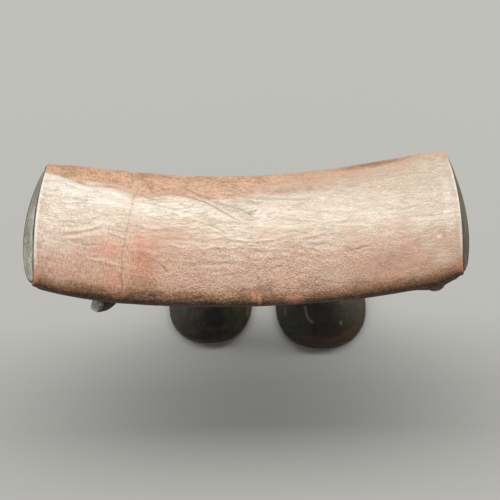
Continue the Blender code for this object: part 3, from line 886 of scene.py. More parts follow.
def leather_relief(along, girth, form, settings):
    """The skin's height over its smooth form in millimetres, the ink in its creases, which is partly
    painted shade along the folds, and its painted shading.

    The painted shading is a painted highlight, over 0, on the crests of raised folds and on the sides of
    crumples that face the back, and a painted shade, under 0, on the sides that face the front.
    """
    # Crumples and fine wrinkles, strongest in the middle and on the front
    slow = noise_at(along / 30, girth / 14, 3.1)
    bent = drifted(along, girth) + 3.0 * slow
    middle = smooth(np.abs(along + 4), 66, 24) * smooth(bent, -26, -8)
    top = smooth(np.abs(girth), 40, 30)
    strength = (0.6 + 0.4 * middle) * top
    crumpled = smooth(np.abs(along - 8), 52, 30) * smooth(np.abs(bent + 10), 14, 6)
    fine = (0.046 * strength + 0.034 * crumpled) * ridges(along, bent, 15, 3.0, 5.0)
    fine += 0.042 * (0.5 + 0.5 * middle) * top * ridges(along, bent + 0.8 * slow, 5.0, 1.9, 8.0)
    calm = 1 - 0.5 * smooth(along, 25, 55)
    fine += calm * 0.050 * noise_at(along / 2.4, girth / 1.5, 23.0)
    slope = np.gradient(fine, axis=1) / np.gradient(girth, axis=1)
    relief = fine + 0.10 * noise_at(along / 22, girth / 9, 19.0) * top
    relief += calm * 0.028 * noise_at(along / 1.0, girth / 0.9, 29.0)

    # The drawn folds and creases
    ink_and_shade = np.zeros(along.shape)
    folded = np.zeros(along.shape)
    worn = np.zeros(along.shape)
    for fold in FOLDS:
        raised, drawn, rubbed_and_sheen = fold.press(along, girth, form)
        folded += raised
        ink_and_shade = np.maximum(ink_and_shade, drawn)
        worn = np.maximum(worn, rubbed_and_sheen)
    relief += folded
    ink_and_shade = np.clip(ink_and_shade * (0.80 + 0.55 * noise_at(along / 6, girth / 4, 61.0)), 0, 1)
    rolled = np.gradient(folded, axis=1) / np.gradient(girth, axis=1)
    # Painted shading: lighter where crumples and folds face the back, darker where they face the front,
    # and lighter on the crests of raised folds
    lit = np.clip(np.clip(-4 * slope, -1, 1) + np.clip(-4 * rolled, -0.15, 0.9) + worn, -1, 1)

    # Pleats and mounds round the lug and the pegs
    for station, turn, gathers, mound in pin_places(form, settings):
        pin_along = station * form.half_length / MM
        pin_girth = float(np.interp(turn, form.turns, form.girths)) / MM
        x, y = along - pin_along, girth - pin_girth
        away = np.hypot(x, y)
        pleats = np.cos(gathers * np.arctan2(y, x) + 1.3 * slow)
        relief += 0.20 * pleats * np.exp(-away / 4) * smooth(away, 1.5, 5)
        relief += mound * np.exp(-((away / 7.0) ** 2))
    return relief, ink_and_shade, lit


# Soft spots of the skin: along and round it in millimetres, half their length and width, their strength
RED_SPOTS = (
    (-52, -9, 11, 9, 0.84), (-67, -11, 9, 8, 0.74), (-64, -26, 8, 9, 0.70), (-51, -18, 13, 13, 0.72),
    (-42, -1, 18, 7, 0.34), (-32, 1, 14, 5, 0.34), (-16, -3, 18, 5, 0.20), (66, -13, 10, 5, 0.30),
    (54.5, -17.6, 2.4, 1.8, 0.85), (30, 4, 16, 2.5, 0.22), (50, 1.5, 9, 1.5, 0.30),
    (-101.5, -31, 3, 7, 1.7), (-100, 32.5, 6, 3, 0.80), (-86, 33, 15, 2.6, 0.42),
    (0, -30.5, 20, 3, 0.28), (82, 23, 16, 5, 0.26), (101, -32, 4, 4, 1.5), (50, 29, 13, 5, 0.26),
    (90, 32, 12, 3, 0.26), (84, -30, 6, 2, 0.35), (-88, -27, 6, 3, 0.25), (-76, 27, 14, 2, 0.30),
)
SCUFFS = (
    (2.4, -31.8, 1.3, 4.6, 1.9), (5.0, -33.2, 1.2, 5.2, 1.9), (0.5, -29.8, 3.8, 1.5, 0.70),
    (22, -34.4, 5.0, 3.4, 1.6), (34, -31, 7, 1.8, 0.40), (-28, -33.8, 10, 1.5, 0.35),
    (-16, -32.6, 6, 1.2, 0.25),
)
# Darker spots, laid into the painted shade of the edges; those beside the drawn folds are painted shade of
# the folds
DARK_SPOTS = (
    (68, -22, 24, 9, 0.22), (50, -14, 12, 6, 0.14), (-50, -26, 12, 11, 0.42), (-50, -32, 15, 5, 0.78),
    (-50, -16, 10, 8, 0.42), (54, -31, 17, 5, 0.42), (0, -30.5, 19, 4.5, 0.56), (29, -28, 13, 5, 0.36),
    (9, -27, 10, 5, 0.30), (-50.5, 27, 4, 7, 0.30), (64, 33, 26, 4, 0.50), (20, 22, 19, 4, 0.32),
    (70, 16, 10, 5, 0.26), (-2, 16.5, 17, 4, 0.22), (-50, 32, 9, 5, 0.30), (-92, 33.5, 13, 3, 0.22),
    (-92, -35, 10, 4, 0.60),
)
# Greyer patches; the first, beside the drawn folds of the middle, is painted shade
OLIVE_SPOTS = (
    (-3, 14.5, 17, 5.5, 0.9), (30, 19, 32, 5, 0.8), (22, 25, 16, 4, 0.7), (46, 24, 18, 5, 0.7),
    (64, 26, 14, 4, 0.45), (58, 14, 11, 7, 0.5), (86, 17, 13, 10, 0.5), (-64, -1, 5, 3, 0.5),
    (40, -24, 11, 6, 0.35), (-15, -20, 6, 5, 0.4), (3, -23, 7, 5, 0.4),
)
# Skin worn almost white, and painted highlights: the small glints near the right end and the bright panel
# left of the drawn folds
PALE_SPOTS_AND_GLINTS = (
    (-88, 19, 20, 7, 1.2), (-98, 22, 9, 8, 1.2), (-70, 15, 16, 8, 0.75), (-90, 9, 10, 8, 0.45),
    (-96, -4, 8, 14, 0.36), (-97, -16, 6, 9, 0.24), (92, 24, 12, 7, 0.42), (30, -20, 9, 4, 0.26),
    (97, 2, 4, 30, 0.50), (86, -4, 14, 6, 0.30), (92, -25, 8, 6, 0.45), (56, 3, 40, 9, 0.32),
    (-51, 11, 13, 5, 0.75), (11, 10, 14, 4, 0.45), (-9, -15, 11, 5, 0.45), (-90, -13, 11, 11, 0.36),
    (12, -9, 12, 4, 0.26), (70, -7, 13, 5, 0.26), (-31, 11, 19, 4, 0.72), (-12, 8, 12, 3, 0.58),
    (95.2, -3.3, 2.2, 1.6, 1.6), (90.9, -14.8, 1.2, 1.0, 1.8), (10, 32.5, 11, 3, 0.30),
    (-89, 27, 11, 3, 0.30),
)
# Where the worn skin ends towards the back: along and across
WORN_LIMIT = (
    (-102, 26.5), (-97, 25.6), (-92, 24.2), (-87, 22.6), (-82, 20.8), (-77, 20), (-73, 20.2),
    (-68, 20.5), (-63, 19.5), (-58, 17.8), (-53, 17), (-46, 18), (-36, 19.4), (-28, 19), (-21, 18),
    (-15, 18.2), (-9, 18.6), (-4, 19.2), (4, 20), (12, 19.6), (30, 18.4), (42, 18), (52, 18.2),
    (61, 19.4), (69, 21), (76, 22.5), (86, 24.5), (102, 27),
)


def spots(along, girth, places, rough):
    """The strongest of soft spots at points of the skin. The roughness frays their edges."""
    share = np.zeros(along.shape)
    for x, y, long, wide, strength in places:
        away = np.hypot((along - x) / long, (girth - y) / wide)
        share = np.maximum(share, strength * smooth(away + rough, 1.3, 0.1))
    return share


def leather_wear(along, girth, form):
    """Shares of worn, red and tan skin, of painted shade at the edges (dark), of pebbled skin, of olive
    skin with painted shade by the folds, and of pale skin with painted highlights. The places are in
    millimetres.
    """
    # The worn top, sharply ended at the left and frayed at the right, and the tan strip behind it
    limit = np.array(WORN_LIMIT, float)
    edge = form.girth_at(np.interp(along, limit[:, 0], limit[:, 1]) * MM) / MM
    wander = noise_at(along / 16, girth / 9, 41.0)
    ragged = noise_at(along / 5, girth / 2.2, 47.0)
    blur = 1.4 + 4.6 * smooth(along, -10, 20)
    past = girth - edge + 0.9 * ragged + (2.2 * ragged + 3.0 * wander) * smooth(along, -4, 16)
    behind = smooth(past, -0.3 * blur, blur)
    band = 3.4 * smooth(along, -86, -76) * smooth(along, -44, -54) + 6.0 * smooth(along, -14, 12)
    # Drawn: less worn skin beside the folds of the middle, a painted shade
    drawn = smooth(along, -24, -16) * smooth(along, 8, -4) * smooth(girth + 0.62 * along, 1.5, 4.0)
    reach = 3 * smooth(along, -70, -95) - 10 * np.exp(-(((along + 46) / 26) ** 2))
    reach = reach + 5 * smooth(along, 70, 95)
    front = smooth(girth + reach + 4 * wander + 2 * ragged, -21, 5)
    worn = front * (1 - behind * (1 - 0.55 * smooth(along, 25, 70))) * (1 - 0.2 * drawn)
    tan = smooth(past - band, -0.3 * blur, blur) * (0.95 - 0.65 * smooth(along, 0, 40))

    # Red patches and raw scuffs
    frayed = noise_at(along / 1.1, girth / 2.6, 53.0)
    red = np.maximum(
        spots(along, girth, RED_SPOTS, 0.3 * ragged),
        spots(along, girth, SCUFFS, 0.5 * frayed + 0.2 * ragged),
    )

    # Painted shade along the front edge, where the skin rolls under, in darker spots, and under the back
    # edge
    low = 34.1 + 1.8 * np.exp(-(((along - 26) / 34) ** 2)) + 1.6 * smooth(np.abs(along), 76, 92)
    dark = smooth(girth + low + 1.6 * wander + 0.8 * ragged, 10.0, -4.0)
    dark = np.maximum(dark, spots(along, girth, DARK_SPOTS, 0.3 * ragged))
    dark = np.maximum(dark, 0.6 * smooth(girth + 0.5 * ragged, 34.5, 38) + 0.4 * smooth(girth, 36, 42))

    olive = spots(along, girth, OLIVE_SPOTS, 0.3 * ragged)
    bleached_and_highlight = spots(along, girth, PALE_SPOTS_AND_GLINTS, 0.3 * ragged)
    pebbled = 0.7 * smooth(along, -66, -20) * smooth(along, 66, 26) + 0.3
    pebbled = pebbled * smooth(girth + 4 * wander, 2, -18) + 0.35 * tan
    return worn, red, tan, dark, np.clip(pebbled, 0.1, 1), olive, bleached_and_highlight


def pin_places(form, settings):
    """Station and section angle of the lug and of each peg, its pleats and the skin's mound there."""
    pins = settings.pins
    end = form.end_station(pins.end_inset)
    middle = form.station_of(settings.legs.offset)
    front, back = math.pi + pins.edge_angle, -pins.edge_angle
    return (
        (-form.end_station(pins.lug_inset), math.pi + pins.lug_angle, 7, 0.5),
        (end, front, 9, 1.9),
        (-end, back, 9, 0.6),
        (end, back, 8, 0.6),
        (middle, math.pi + pins.lap_angle, 10, 0.6),
        (middle, -pins.lap_angle, 10, 0.6),
    )


def eased_steps(half, edge_steps, step):
    """Places from -half to half: close together at both ends, about a step apart between them.

    The gaps between them are a multiple of those on the inside of the skin.
    """
    inner = half - edge_steps[-1]
    gaps = INSIDE_EVERY * math.ceil(2 * inner / step / INSIDE_EVERY)
    count = gaps - 2 * len(edge_steps) + 2
    between = np.linspace(-inner, inner, count + 1)[1:-1]
    return np.concatenate((-half + edge_steps, between, half - edge_steps[::-1]))


def leather_cover(settings):
    """The skin, as a closed shell: a wrinkled outside, a smooth inside and rounded cut edges."""
    form = SaddleForm(settings.saddle)
    row_step, column_step = 0.00046, 0.00042
    edge_steps = np.array((0, 0.06, 0.16, 0.30, 0.50, 0.75)) * MM
    rows = eased_steps(form.half_length, edge_steps, row_step)
    lap = form.lap_girth()
    columns = eased_steps(lap, edge_steps, column_step)
    along, girth = np.meshgrid(rows, columns, indexing="ij")
    station = along / form.half_length

    # The lap's edge waves, and it is cut back towards both ends
    wave_length, wave_share = 0.011, 0.022
    wave = noise_at(rows / wave_length, 0.0, 31.0)[:, None] * np.where(columns > 0, 1, -1)[None, :]
    girth = girth * (1 + wave_share * wave * smooth(np.abs(columns), 0.7 * lap, lap)[None, :])
    cut_from, end_lap, cut_start, cut_full = 0.030, 0.0385, 0.013, 0.001
    cut_back = (lap - end_lap) * smooth(
        np.abs(along), form.half_length - cut_start, form.half_length - cut_full
    )
    girth -= np.sign(girth) * cut_back * np.clip((np.abs(girth) - cut_from) / (lap - cut_from), 0, 1)
    turn = form.turn_at(girth)

    # The outside, with rounded edges and a low lip at both ends
    relief, ink_and_shade, lit = leather_relief(along / MM, girth / MM, form, settings)
    worn, red, tan, dark, pebbled, olive, bleached_and_highlight = leather_wear(along / MM, girth / MM, form)
    rounding, deepest, lip_height, lip_width = 0.00055, 0.0007, 0.00012, 0.0016
    to_end = np.minimum(form.half_length - np.abs(along), rounding)
    to_lap = np.minimum(lap - np.abs(columns)[None, :], rounding)
    drop = 2 * rounding
    for gap in (to_end, to_lap):
        drop = drop - np.sqrt(np.maximum(rounding**2 - (rounding - gap) ** 2, 0))
    lip = lip_height * np.exp(-(((form.half_length - np.abs(along)) / lip_width) ** 2))
    raised = np.maximum(relief * MM, -deepest) * smooth(to_end, -rounding, rounding)
    offset = form.cover_offset + raised - drop + lip
    outside = form.skin(station, turn, offset)

    # The inside has fewer columns, and the cut faces join the two
    every = INSIDE_EVERY
    inside = form.skin(station[:, ::every], turn[:, ::every], form.sizes.clearance)
    count, wide = outside.shape[:2]
    narrow = inside.shape[1]
    outer = np.arange(count * wide).reshape(count, wide)
    inner = np.arange(count * narrow).reshape(count, narrow) + count * wide
    faces = []
    for grid in (outer, inner):
        faces += grid_faces(grid)
    for column in (0, -1):
        for low, high, low_in, high_in in zip(
            outer[:-1, column], outer[1:, column], inner[:-1, column], inner[1:, column]
        ):
            faces.append((int(low), int(high), int(high_in), int(low_in)))
    for row in (0, -1):
        for i in range(narrow - 1):
            rim = outer[row, i * every : (i + 1) * every + 1].tolist()
            faces.append((*rim, int(inner[row, i + 1]), int(inner[row, i])))
    points = np.concatenate((outside.reshape(-1, 3), inside.reshape(-1, 3)))
    skin = object_from("leather_skin", points, faces, leather_finish(settings.colours, form))
    # Among these shares are the painted shade of the edges and folds, and the painted shading and
    # highlights of crumples and glints
    for name, layers in (
        ("skin_place", (along, girth, drifted(along / MM, girth / MM) * MM)),
        ("skin_tint", (olive, bleached_and_highlight, lit)),
        ("skin_wear_and_shade", (worn, red, ink_and_shade)),
        ("skin_zone", (tan, dark, pebbled)),
    ):
        shown = np.stack(layers, axis=-1)
        both = (shown.reshape(-1, 3), shown[:, ::every].reshape(-1, 3))
        set_vectors(skin, name, np.concatenate(both))
    dress(skin, "leather", "leather_cover")


# Carved wood

def scallops(u, v, seed):
    """Shallow hollows of a blade, from 0 in a hollow's middle to about 1 on the ridges between them."""
    u, v = np.broadcast_arrays(u, v)
    values = []
    for x, y in zip(u.ravel(), v.ravel()):
        distances, _ = noise.voronoi((x, y, seed))
        values.append(min(distances[0], 1.0))
    return np.array(values).reshape(u.shape)


def saddle_block(settings):
    """The saddle's wood with the marks of the blade under it, and bowed end faces with worn arrises."""
    form = SaddleForm(settings.saddle)
    sides, rows, layers = 128, 150, 12
    turns = 2 * math.pi * (np.arange(sides) + 0.5) / sides
    edge = np.array((0, 0.25, 0.6, 1.1)) * MM
    along = np.concatenate((
        -form.half_length + edge,
        np.linspace(-form.half_length, form.half_length, rows)[1:-1],
        form.half_length - edge[::-1],
    ))
    station = along[:, None] / form.half_length
    rounding, blade_depth, bulge_height, chip_depth = 0.0006, 0.0005, 0.00045, 0.00035
    gap = np.minimum(form.half_length - np.abs(along), rounding)
    inset = rounding - np.sqrt(rounding**2 - (rounding - gap) ** 2)
    under = smooth(np.sin(turns), 0.0, -0.5)[None, :]
    cuts = scallops(along[:, None] / 0.017, np.cos(turns)[None, :] * 4.2, 2.0)
    offset = -inset[:, None] - blade_depth * (1 - cuts**2) * under
    rings = form.skin(station, turns[None, :], offset)

    # End faces, as grids between the upper and the lower half of the last rings
    half = sides // 2
    points = [rings.reshape(-1, 3)]
    faces = tube_faces(len(along), sides)
    total = rings.shape[0] * sides
    face_share = [np.zeros(total)]
    for end, sign in ((0, -1.0), (len(along) - 1, 1.0)):
        ring = rings[end]
        upper, lower = ring[:half], ring[half:][::-1]
        share = np.linspace(0, 1, layers + 1)[None, 1:-1, None]
        sheet = upper[:, None, :] * (1 - share) + lower[:, None, :] * share
        normal = np.array((sign * math.cos(form.end_angle), 0, math.sin(form.end_angle)))
        chips = scallops(sheet[..., 1] / 0.013, sheet[..., 2] / 0.006, 5.0 + end)
        bulge = bulge_height * np.sin(math.pi * share[..., 0]) - chip_depth * (1 - chips**2)
        rim = np.clip(4 * np.sin(math.pi * (np.arange(half) + 0.5) / half), 0, 1)[:, None]
        sheet = sheet + (bulge * rim)[..., None] * normal
        base = total + sum(len(block) for block in points[1:])
        points.append(sheet.reshape(-1, 3))
        # The grey share of each end face, scraped wood and painted sheen: high on the left face and lower
        # towards its back, low on the right face and lower towards its front
        if sign < 0:
            rubbed_and_sheen = 1.0 - 0.45 * smooth(sheet[..., 1], -0.004, 0.016)
        else:
            rubbed_and_sheen = 0.42 - 0.10 * smooth(sheet[..., 1], 0.004, -0.020)
        face_share.append(rubbed_and_sheen.ravel())
        grid = np.zeros((half, layers + 1), int)
        grid[:, 0] = end * sides + np.arange(half)
        grid[:, -1] = end * sides + np.arange(sides - 1, half - 1, -1)
        grid[:, 1:-1] = base + np.arange(half * (layers - 1)).reshape(half, layers - 1)
        faces += grid_faces(grid)
        for tip in (grid[0], grid[-1]):
            faces.append(tuple(int(i) for i in tip))

    finish = black_wood_finish(settings.colours)
    block = object_from("saddle_block", np.concatenate(points), faces, finish)
    arris = np.zeros((len(along), sides))
    near = 3
    arris[:near] = smooth(rings[:near, :, 1], -0.008, 0.014)
    arris[-near:] = 1
    set_values(block, "scraped_and_sheen", np.concatenate(face_share))
    set_values(block, "arris", np.concatenate((arris.ravel(), *(0 * part for part in face_share[1:]))))
    dress(block, "blackened_wood", "saddle")


class LegForm:
    """A leaning leg: where its axis runs, and how wide and deep it is at a height."""

    def __init__(self, side, settings, form):
        legs = settings.legs
        self.legs = legs
        self.form = form
        left = side == "left"
        direction = -1 if left else 1
        self.width = legs.left_width if left else legs.right_width
        self.depth = legs.left_depth if left else legs.right_depth
        back = legs.left_back if left else legs.right_back
        foot_x = form.shift + legs.offset + direction * legs.foot_spacing / 2
        top_x = legs.offset + direction * legs.top_spacing / 2
        self.top = form.sizes.height + form.radius - math.sqrt(form.radius**2 - top_x**2)
        self.foot = np.array((foot_x, back, 0.0))
        head = np.array((form.shift + top_x, 0.0, self.top))
        self.slope = (head - self.foot) / self.top
        self.inside = self.top - form.sizes.crown - form.sizes.belly / 2

    def half_sizes(self, height):
        """Half the width and half the depth at heights."""
        legs = self.legs
        column = legs.column / 2
        turn = np.arccos(np.clip(1 - height / legs.rim_round, 0, 1))
        inset = legs.rim_round * (1 - np.sin(turn))
        spread = np.clip(1 - (height - legs.rim) / legs.flare, 0, 1) ** legs.flare_curve
        swell = np.clip(1 - (self.inside - height) / legs.shoulder_flare, 0, 1) ** 2
        sizes = []
        for foot in (self.width / 2, self.depth / 2):
            size = column + (foot - column) * spread + (legs.shoulder / 2 - column) * swell
            sizes.append(size - inset)
        return sizes

    def ring(self, height, turns, wide, deep, fullness):
        x = wide * signed_power(np.cos(turns), 2 / fullness)
        y = deep * signed_power(np.sin(turns), 2 / fullness)
        middle = self.foot + np.asarray(height)[..., None] * self.slope
        return middle + np.stack(np.broadcast_arrays(x, y, 0 * x), axis=-1)


# Marks on the legs: their strength, over 0 for pale painted glints and under 0 for rusty smears, and
# points in millimetres
LEG_GLINTS_AND_SMEARS = {
    "left": (
        (0.12, ((-36.5, -18, 15.5), (-30.2, -16, 21), (-23.8, -14.3, 24.5))),
        (0.14, ((-3.9, -4.3, 10.5), (-3.8, -9.0, 8.0))),
        (-0.8, ((-38.0, -9.8, 25.4), (-39.3, -13.4, 19.8), (-38.3, -19.7, 11.6))),
        (-0.7, ((-39.3, -13.4, 19.8), (-34.1, -11.9, 26.8), (-29.9, -10.5, 33.3))),
        (-0.5, ((-33.9, -17.3, 17.0), (-24.6, -19.4, 14.2), (-16.3, -17.1, 14.5))),
    ),
    "right": (
        (0.50, ((32.2, -11.2, 32.2), (32.8, -13.8, 27.8), (34.1, -16.1, 24.7), (36.5, -18.1, 22.6))),
        (0.14, ((20.3, -5.4, 15.0), (20.6, -10.6, 13.6))),
        (-0.6, ((29.2, -23.8, 10.6), (48.0, -26.8, 10.3), (61.0, -22.4, 9.6))),
        (0.45, ((54.7, -18.0, 18.6), (54.9, -18.3, 18.1))),
    ),
}


def near_line(points, line, width):
    """1 on a line of points in space, and eased to 0 over a width."""
    line = np.array(line) * MM
    nearest = np.full(points.shape[:-1], np.inf)
    for start, end in zip(line, line[1:]):
        run = end - start
        share = np.clip((points - start) @ run / (run @ run), 0, 1)
        nearest = np.minimum(nearest, np.linalg.norm(points - start - share[..., None] * run, axis=-1))
    return np.exp(-((nearest / width) ** 2))


def carved_leg(side, settings, form, finish):
    """A leg with a polished, adzed foot and column. Its shoulder meets the underside of the saddle."""
    leg = LegForm(side, settings, form)
    legs = settings.legs
    sides, rim_rows, rows, halvings = 112, 7, 96, 20
    turns = 2 * math.pi * (np.arange(sides) + 0.5) / sides
    rim = legs.rim_round * (1 - np.cos(np.linspace(0, math.pi / 2, rim_rows)))
    heights = np.concatenate((rim, np.linspace(legs.rim_round, leg.inside, rows)[1:]))
    wide, deep = leg.half_sizes(heights)
    mark_reach, mark_height = 0.03, 0.012
    marks = scallops(
        5 * np.cos(turns)[None, :] * wide[:, None] / mark_reach,
        5 * np.sin(turns)[None, :] * deep[:, None] / mark_reach + heights[:, None] / mark_height,
        1.0 if side == "left" else 9.0,
    )
    hollow = legs.adze * (1 - marks**2) * smooth(heights, 0.001, 0.008)[:, None]
    fullness = 2 + (legs.fullness - 2) * smooth(heights, 0.050, 0.010)[:, None]
    body = leg.ring(
        heights[:, None], turns[None, :], wide[:, None] - hollow, deep[:, None] - hollow, fullness
    )

    # The column ends just under the saddle
    gap = 0.00015
    inside = form.depth_under(body) > -gap
    first = np.argmax(inside, axis=0)
    for i in range(sides):
        row = first[i]
        outer, inner = body[row - 1, i].copy(), body[row, i].copy()
        for _ in range(halvings):
            middle = (outer + inner) / 2
            if form.depth_under(middle) > -gap:
                inner = middle
            else:
                outer = middle
        body[row:, i] = outer
    shoulder = body[-1]
    keep = int(first.max())

    # The tenon ends just under the saddle's top
    tenon = legs.tenon / 2
    root = leg.ring(shoulder[:, 2], turns, tenon, tenon, 2.0)
    tip = leg.ring(np.full(sides, leg.top), turns, tenon, tenon, 2.0)
    x = tip[:, 0] - form.shift
    across = np.abs(tip[:, 1]) / form.half_width(0.0)
    sizes = form.sizes
    crown = sizes.crown * (1 - across**sizes.crown_fullness) ** (1 / sizes.crown_fullness)
    reach = form.radius + sizes.crown - crown
    tip[:, 2] = sizes.height + form.radius - np.sqrt(reach**2 - x**2) - sizes.clearance
    rings = np.concatenate((body[: keep + 1], root[None], tip[None]))
    made = lathe(f"{side}_leg_carved", rings, finish)

    # Painted sheen on the left flanks, an olive stain on the right flanks, painted glints and rusty smears
    flank = smooth(-np.cos(turns), -0.05, 0.6) - 0.9 * smooth(np.cos(turns), 0.2, 0.8)
    flank = flank[None, :] * (smooth(heights, 0.003, 0.012) * smooth(heights, 0.060, 0.030))[:, None]
    glint_and_smear = np.zeros(marks.shape)
    glint_width, smear_width = 0.7 * MM, 1.7 * MM
    for strength, line in LEG_GLINTS_AND_SMEARS[side]:
        glint_and_smear += strength * near_line(body, line, glint_width if strength > 0 else smear_width)
    shown = np.stack((marks, flank, glint_and_smear), axis=-1)[: keep + 1].reshape(-1, 3)
    set_vectors(made, "leg_marks", np.concatenate((shown, np.zeros((2 * sides + 2, 3)))))
    dress(made, "leg_wood", f"{side}_leg")


def level_ring(x, y, height):
    """The points of a ring at one height."""
    return np.stack((x, y, np.full(x.shape, height)), axis=-1)


def whittled_peg(name, station, turn, settings, form, finish):
    """A peg with a knife-cut head."""
    pins = settings.pins
    sides, dome_rows, facets, twist = 48, 14, 7, 0.4
    turns = 2 * math.pi * np.arange(sides) / sides
    clearance, offset = form.sizes.clearance, form.cover_offset
    shank, head = pins.shank / 2, pins.head / 2
    rows = [(-pins.depth - offset, 0.7 * shank), (-pins.depth, shank), (clearance, shank)]
    for i in range(dome_rows):
        rise = math.pi / 2 * i / dome_rows
        rows.append((clearance + pins.head_height * math.sin(rise), head * math.cos(rise)))
    half_facet = math.pi / facets
    flat = np.cos(half_facet) / np.cos((turns + twist) % (2 * math.pi / facets) - half_facet)
    rings = []
    for height, radius in rows:
        cut = 1 + (flat - 1) * smooth(height, clearance, clearance + 0.4 * pins.head_height)
        rings.append(level_ring(radius * cut * np.cos(turns), radius * cut * np.sin(turns), height))
    made = lathe(f"{name}_whittled", np.array(rings), finish)
    made.data.transform(form.frame(station, turn, offset))
    dress(made, "peg_wood", name)


def carved_lug(settings, form, finish):
    """The claw-shaped lug: a facet on its left, grey as a painted reflection and paler at the tip as a
    painted glint, a ridge, and a black flank that hooks to the left.
    """
    pins = settings.pins
    sides, body_rows, tip_rows, sharpness = 96, 18, 7, 5
    turns = 2 * math.pi * np.arange(sides) / sides
    facets = np.radians((146, 48, -28, -106, 208))
    reach = np.maximum(np.cos(turns[:, None] - facets[None, :]), 0)
    cut = (reach**sharpness).sum(1) ** (-1 / sharpness)
    cut /= cut.max()
    clearance, offset = form.sizes.clearance, form.cover_offset
    tenon = pins.lug_tenon / 2
    rings = []
    for height in (-pins.depth - offset, clearance):
        rings.append(level_ring(tenon * np.cos(turns), tenon * np.sin(turns), height))
    body, tip = 0.86, 0.14
    shares = np.linspace(0, body, body_rows), body + tip * np.sin(np.linspace(0.2, 1.5, tip_rows))
    for share in np.concatenate(shares):
        end = math.sqrt(max(1 - (max(share - body, 0) / tip) ** 2, 0))
        slim = (1 - 0.36 * share**1.5) * (0.45 + 0.55 * end)
        x = pins.lug_width / 2 * slim * cut * np.cos(turns) - pins.lug_hook * share**1.5
        y = pins.lug_breadth / 2 * slim * cut * np.sin(turns) - pins.lug_droop * share**1.5
        rings.append(level_ring(x, y, clearance + pins.lug_length * share))
    made = lathe("carrying_lug_carved", np.array(rings), finish)
    station = -form.end_station(pins.lug_inset)
    made.data.transform(form.frame(station, math.pi + pins.lug_angle, offset))
    # Painted reflection on the left facet, paler towards the tip as a painted glint
    lit_facet = smooth(np.cos(turns - facets[0]), 0.50, 0.80)
    pale = 1.25 + 0.8 * smooth(np.linspace(0, 1, len(rings)), 0.45, 1.0)
    set_values(made, "scraped_and_sheen", np.concatenate((np.outer(pale, lit_facet).ravel(), (0, 0.6))))
    dress(made, "blackened_wood", "carrying_lug")


# Operators

class HEADREST_OT_saddle(bpy.types.Operator):
    """Carve the saddle's wood"""

    bl_idname = "headrest.saddle"
    bl_label = "Saddle"

    def execute(self, context):
        saddle_block(context.scene.headrest)
        return {"FINISHED"}


class HEADREST_OT_legs(bpy.types.Operator):
    """Carve both legs, and finish the wedges in their tenons"""

    bl_idname = "headrest.legs"
    bl_label = "Legs and wedges"

    def execute(self, context):
        settings = context.scene.headrest
        form = SaddleForm(settings.saddle)
        wood = leg_finish(settings.colours)
        split = whittled_finish("split wedge wood", settings.colours.split, settings.colours.peg)
        for side in ("left", "right"):
            carved_leg(side, settings, form, wood)
            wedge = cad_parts[f"{side}_wedge"]
            wedge.data.materials.clear()
            wedge.data.materials.append(split)
        return {"FINISHED"}


class HEADREST_OT_cover(bpy.types.Operator):
    """Stretch the leather cover over the saddle"""

    bl_idname = "headrest.cover"
    bl_label = "Leather cover"

    def execute(self, context):
        leather_cover(context.scene.headrest)
        return {"FINISHED"}


class HEADREST_OT_pins(bpy.types.Operator):
    """Whittle the pegs and the lug that pin the cover"""

    bl_idname = "headrest.pins"
    bl_label = "Pegs and lug"

    def execute(self, context):
        settings = context.scene.headrest
        form = SaddleForm(settings.saddle)
        colours = settings.colours
        wood = whittled_finish("whittled peg wood", colours.peg, colours.dark)
        names = (
            "front_right_peg", "back_left_peg", "back_right_peg", "front_middle_peg", "back_middle_peg"
        )
        for name, (station, turn, _, _) in zip(names, pin_places(form, settings)[1:]):
            whittled_peg(name, station, turn, settings, form, wood)
        carved_lug(settings, form, black_wood_finish(colours))
        return {"FINISHED"}


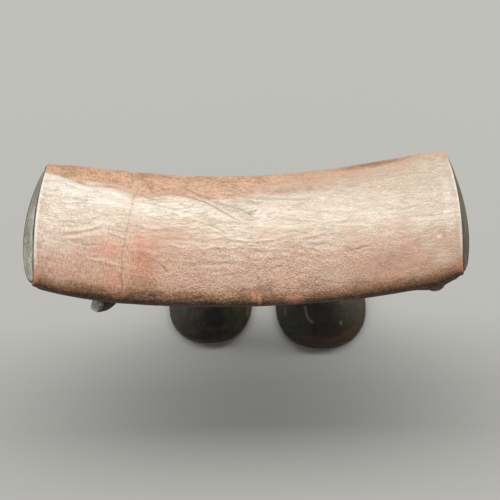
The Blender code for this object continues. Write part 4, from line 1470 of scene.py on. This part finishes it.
class HEADREST_OT_stage(bpy.types.Operator):
    """Lay the floor, hang the lights and set up the camera"""

    bl_idname = "headrest.stage"
    bl_label = "Stage"

    def execute(self, context):
        studio = context.scene.headrest.studio
        scene = context.scene
        reach = studio.floor_reach
        corners = [(x * reach, y * reach, 0) for x, y in ((-1, -1), (1, -1), (1, 1), (-1, 1))]
        floor = object_from("floor", corners, [(0, 1, 2, 3)], floor_finish(studio.floor))

        world = bpy.data.worlds.new("studio")
        world.use_nodes = True
        background = world.node_tree.nodes["Background"]
        background.inputs["Color"].default_value = (*studio.fill_tint, 1)
        background.inputs["Strength"].default_value = studio.fill
        scene.world = world
        scene.view_settings.view_transform = "Standard"

        lamp = bpy.data.lights.new("softbox", "AREA")
        lamp.shape = "RECTANGLE"
        lamp.size = studio.key_length
        lamp.size_y = studio.key_width
        lamp.color = studio.key_tint
        lamp.energy = studio.key
        softbox = bpy.data.objects.new("softbox", lamp)
        softbox.location = studio.key_place
        aim = Vector(studio.key_aim) - softbox.location
        softbox.rotation_euler = aim.to_track_quat("-Z", "Y").to_euler()
        scene.collection.objects.link(softbox)

        lens = bpy.data.cameras.new("camera")
        lens.sensor_width = studio.sensor
        lens.lens = studio.lens
        camera = bpy.data.objects.new("camera", lens)
        camera.location = studio.camera
        look = Vector(studio.aim) - Vector(studio.camera)
        level = look.to_track_quat("-Z", "Y").to_matrix()
        camera.rotation_euler = (level @ Matrix.Rotation(studio.roll, 3, "Z")).to_euler()
        scene.collection.objects.link(camera)
        scene.camera = camera
        return {"FINISHED"}


class HEADREST_PT_pieces(bpy.types.Panel):
    """The pieces of the headrest, in the order in which they are made"""

    bl_idname = "HEADREST_PT_pieces"
    bl_label = "Headrest"
    bl_space_type = "VIEW_3D"
    bl_region_type = "UI"
    bl_category = "Headrest"

    def draw(self, context):
        for operator in OPERATORS:
            self.layout.operator(operator.bl_idname)


OPERATORS = (
    HEADREST_OT_saddle, HEADREST_OT_legs, HEADREST_OT_cover, HEADREST_OT_pins, HEADREST_OT_stage
)
CLASSES = (
    HEADREST_PG_saddle, HEADREST_PG_legs, HEADREST_PG_pins, HEADREST_PG_colours, HEADREST_PG_studio,
    HEADREST_PG_settings, *OPERATORS, HEADREST_PT_pieces,
)


def register():
    for cls in CLASSES:
        bpy.utils.register_class(cls)
    bpy.types.Scene.headrest = bpy.props.PointerProperty(type=HEADREST_PG_settings)


def unregister():
    del bpy.types.Scene.headrest
    for cls in reversed(CLASSES):
        bpy.utils.unregister_class(cls)


def main():
    register()
    bpy.ops.headrest.saddle()
    bpy.ops.headrest.legs()
    bpy.ops.headrest.cover()
    bpy.ops.headrest.pins()
    bpy.ops.headrest.stage()


if __name__ == "__main__":
    main()
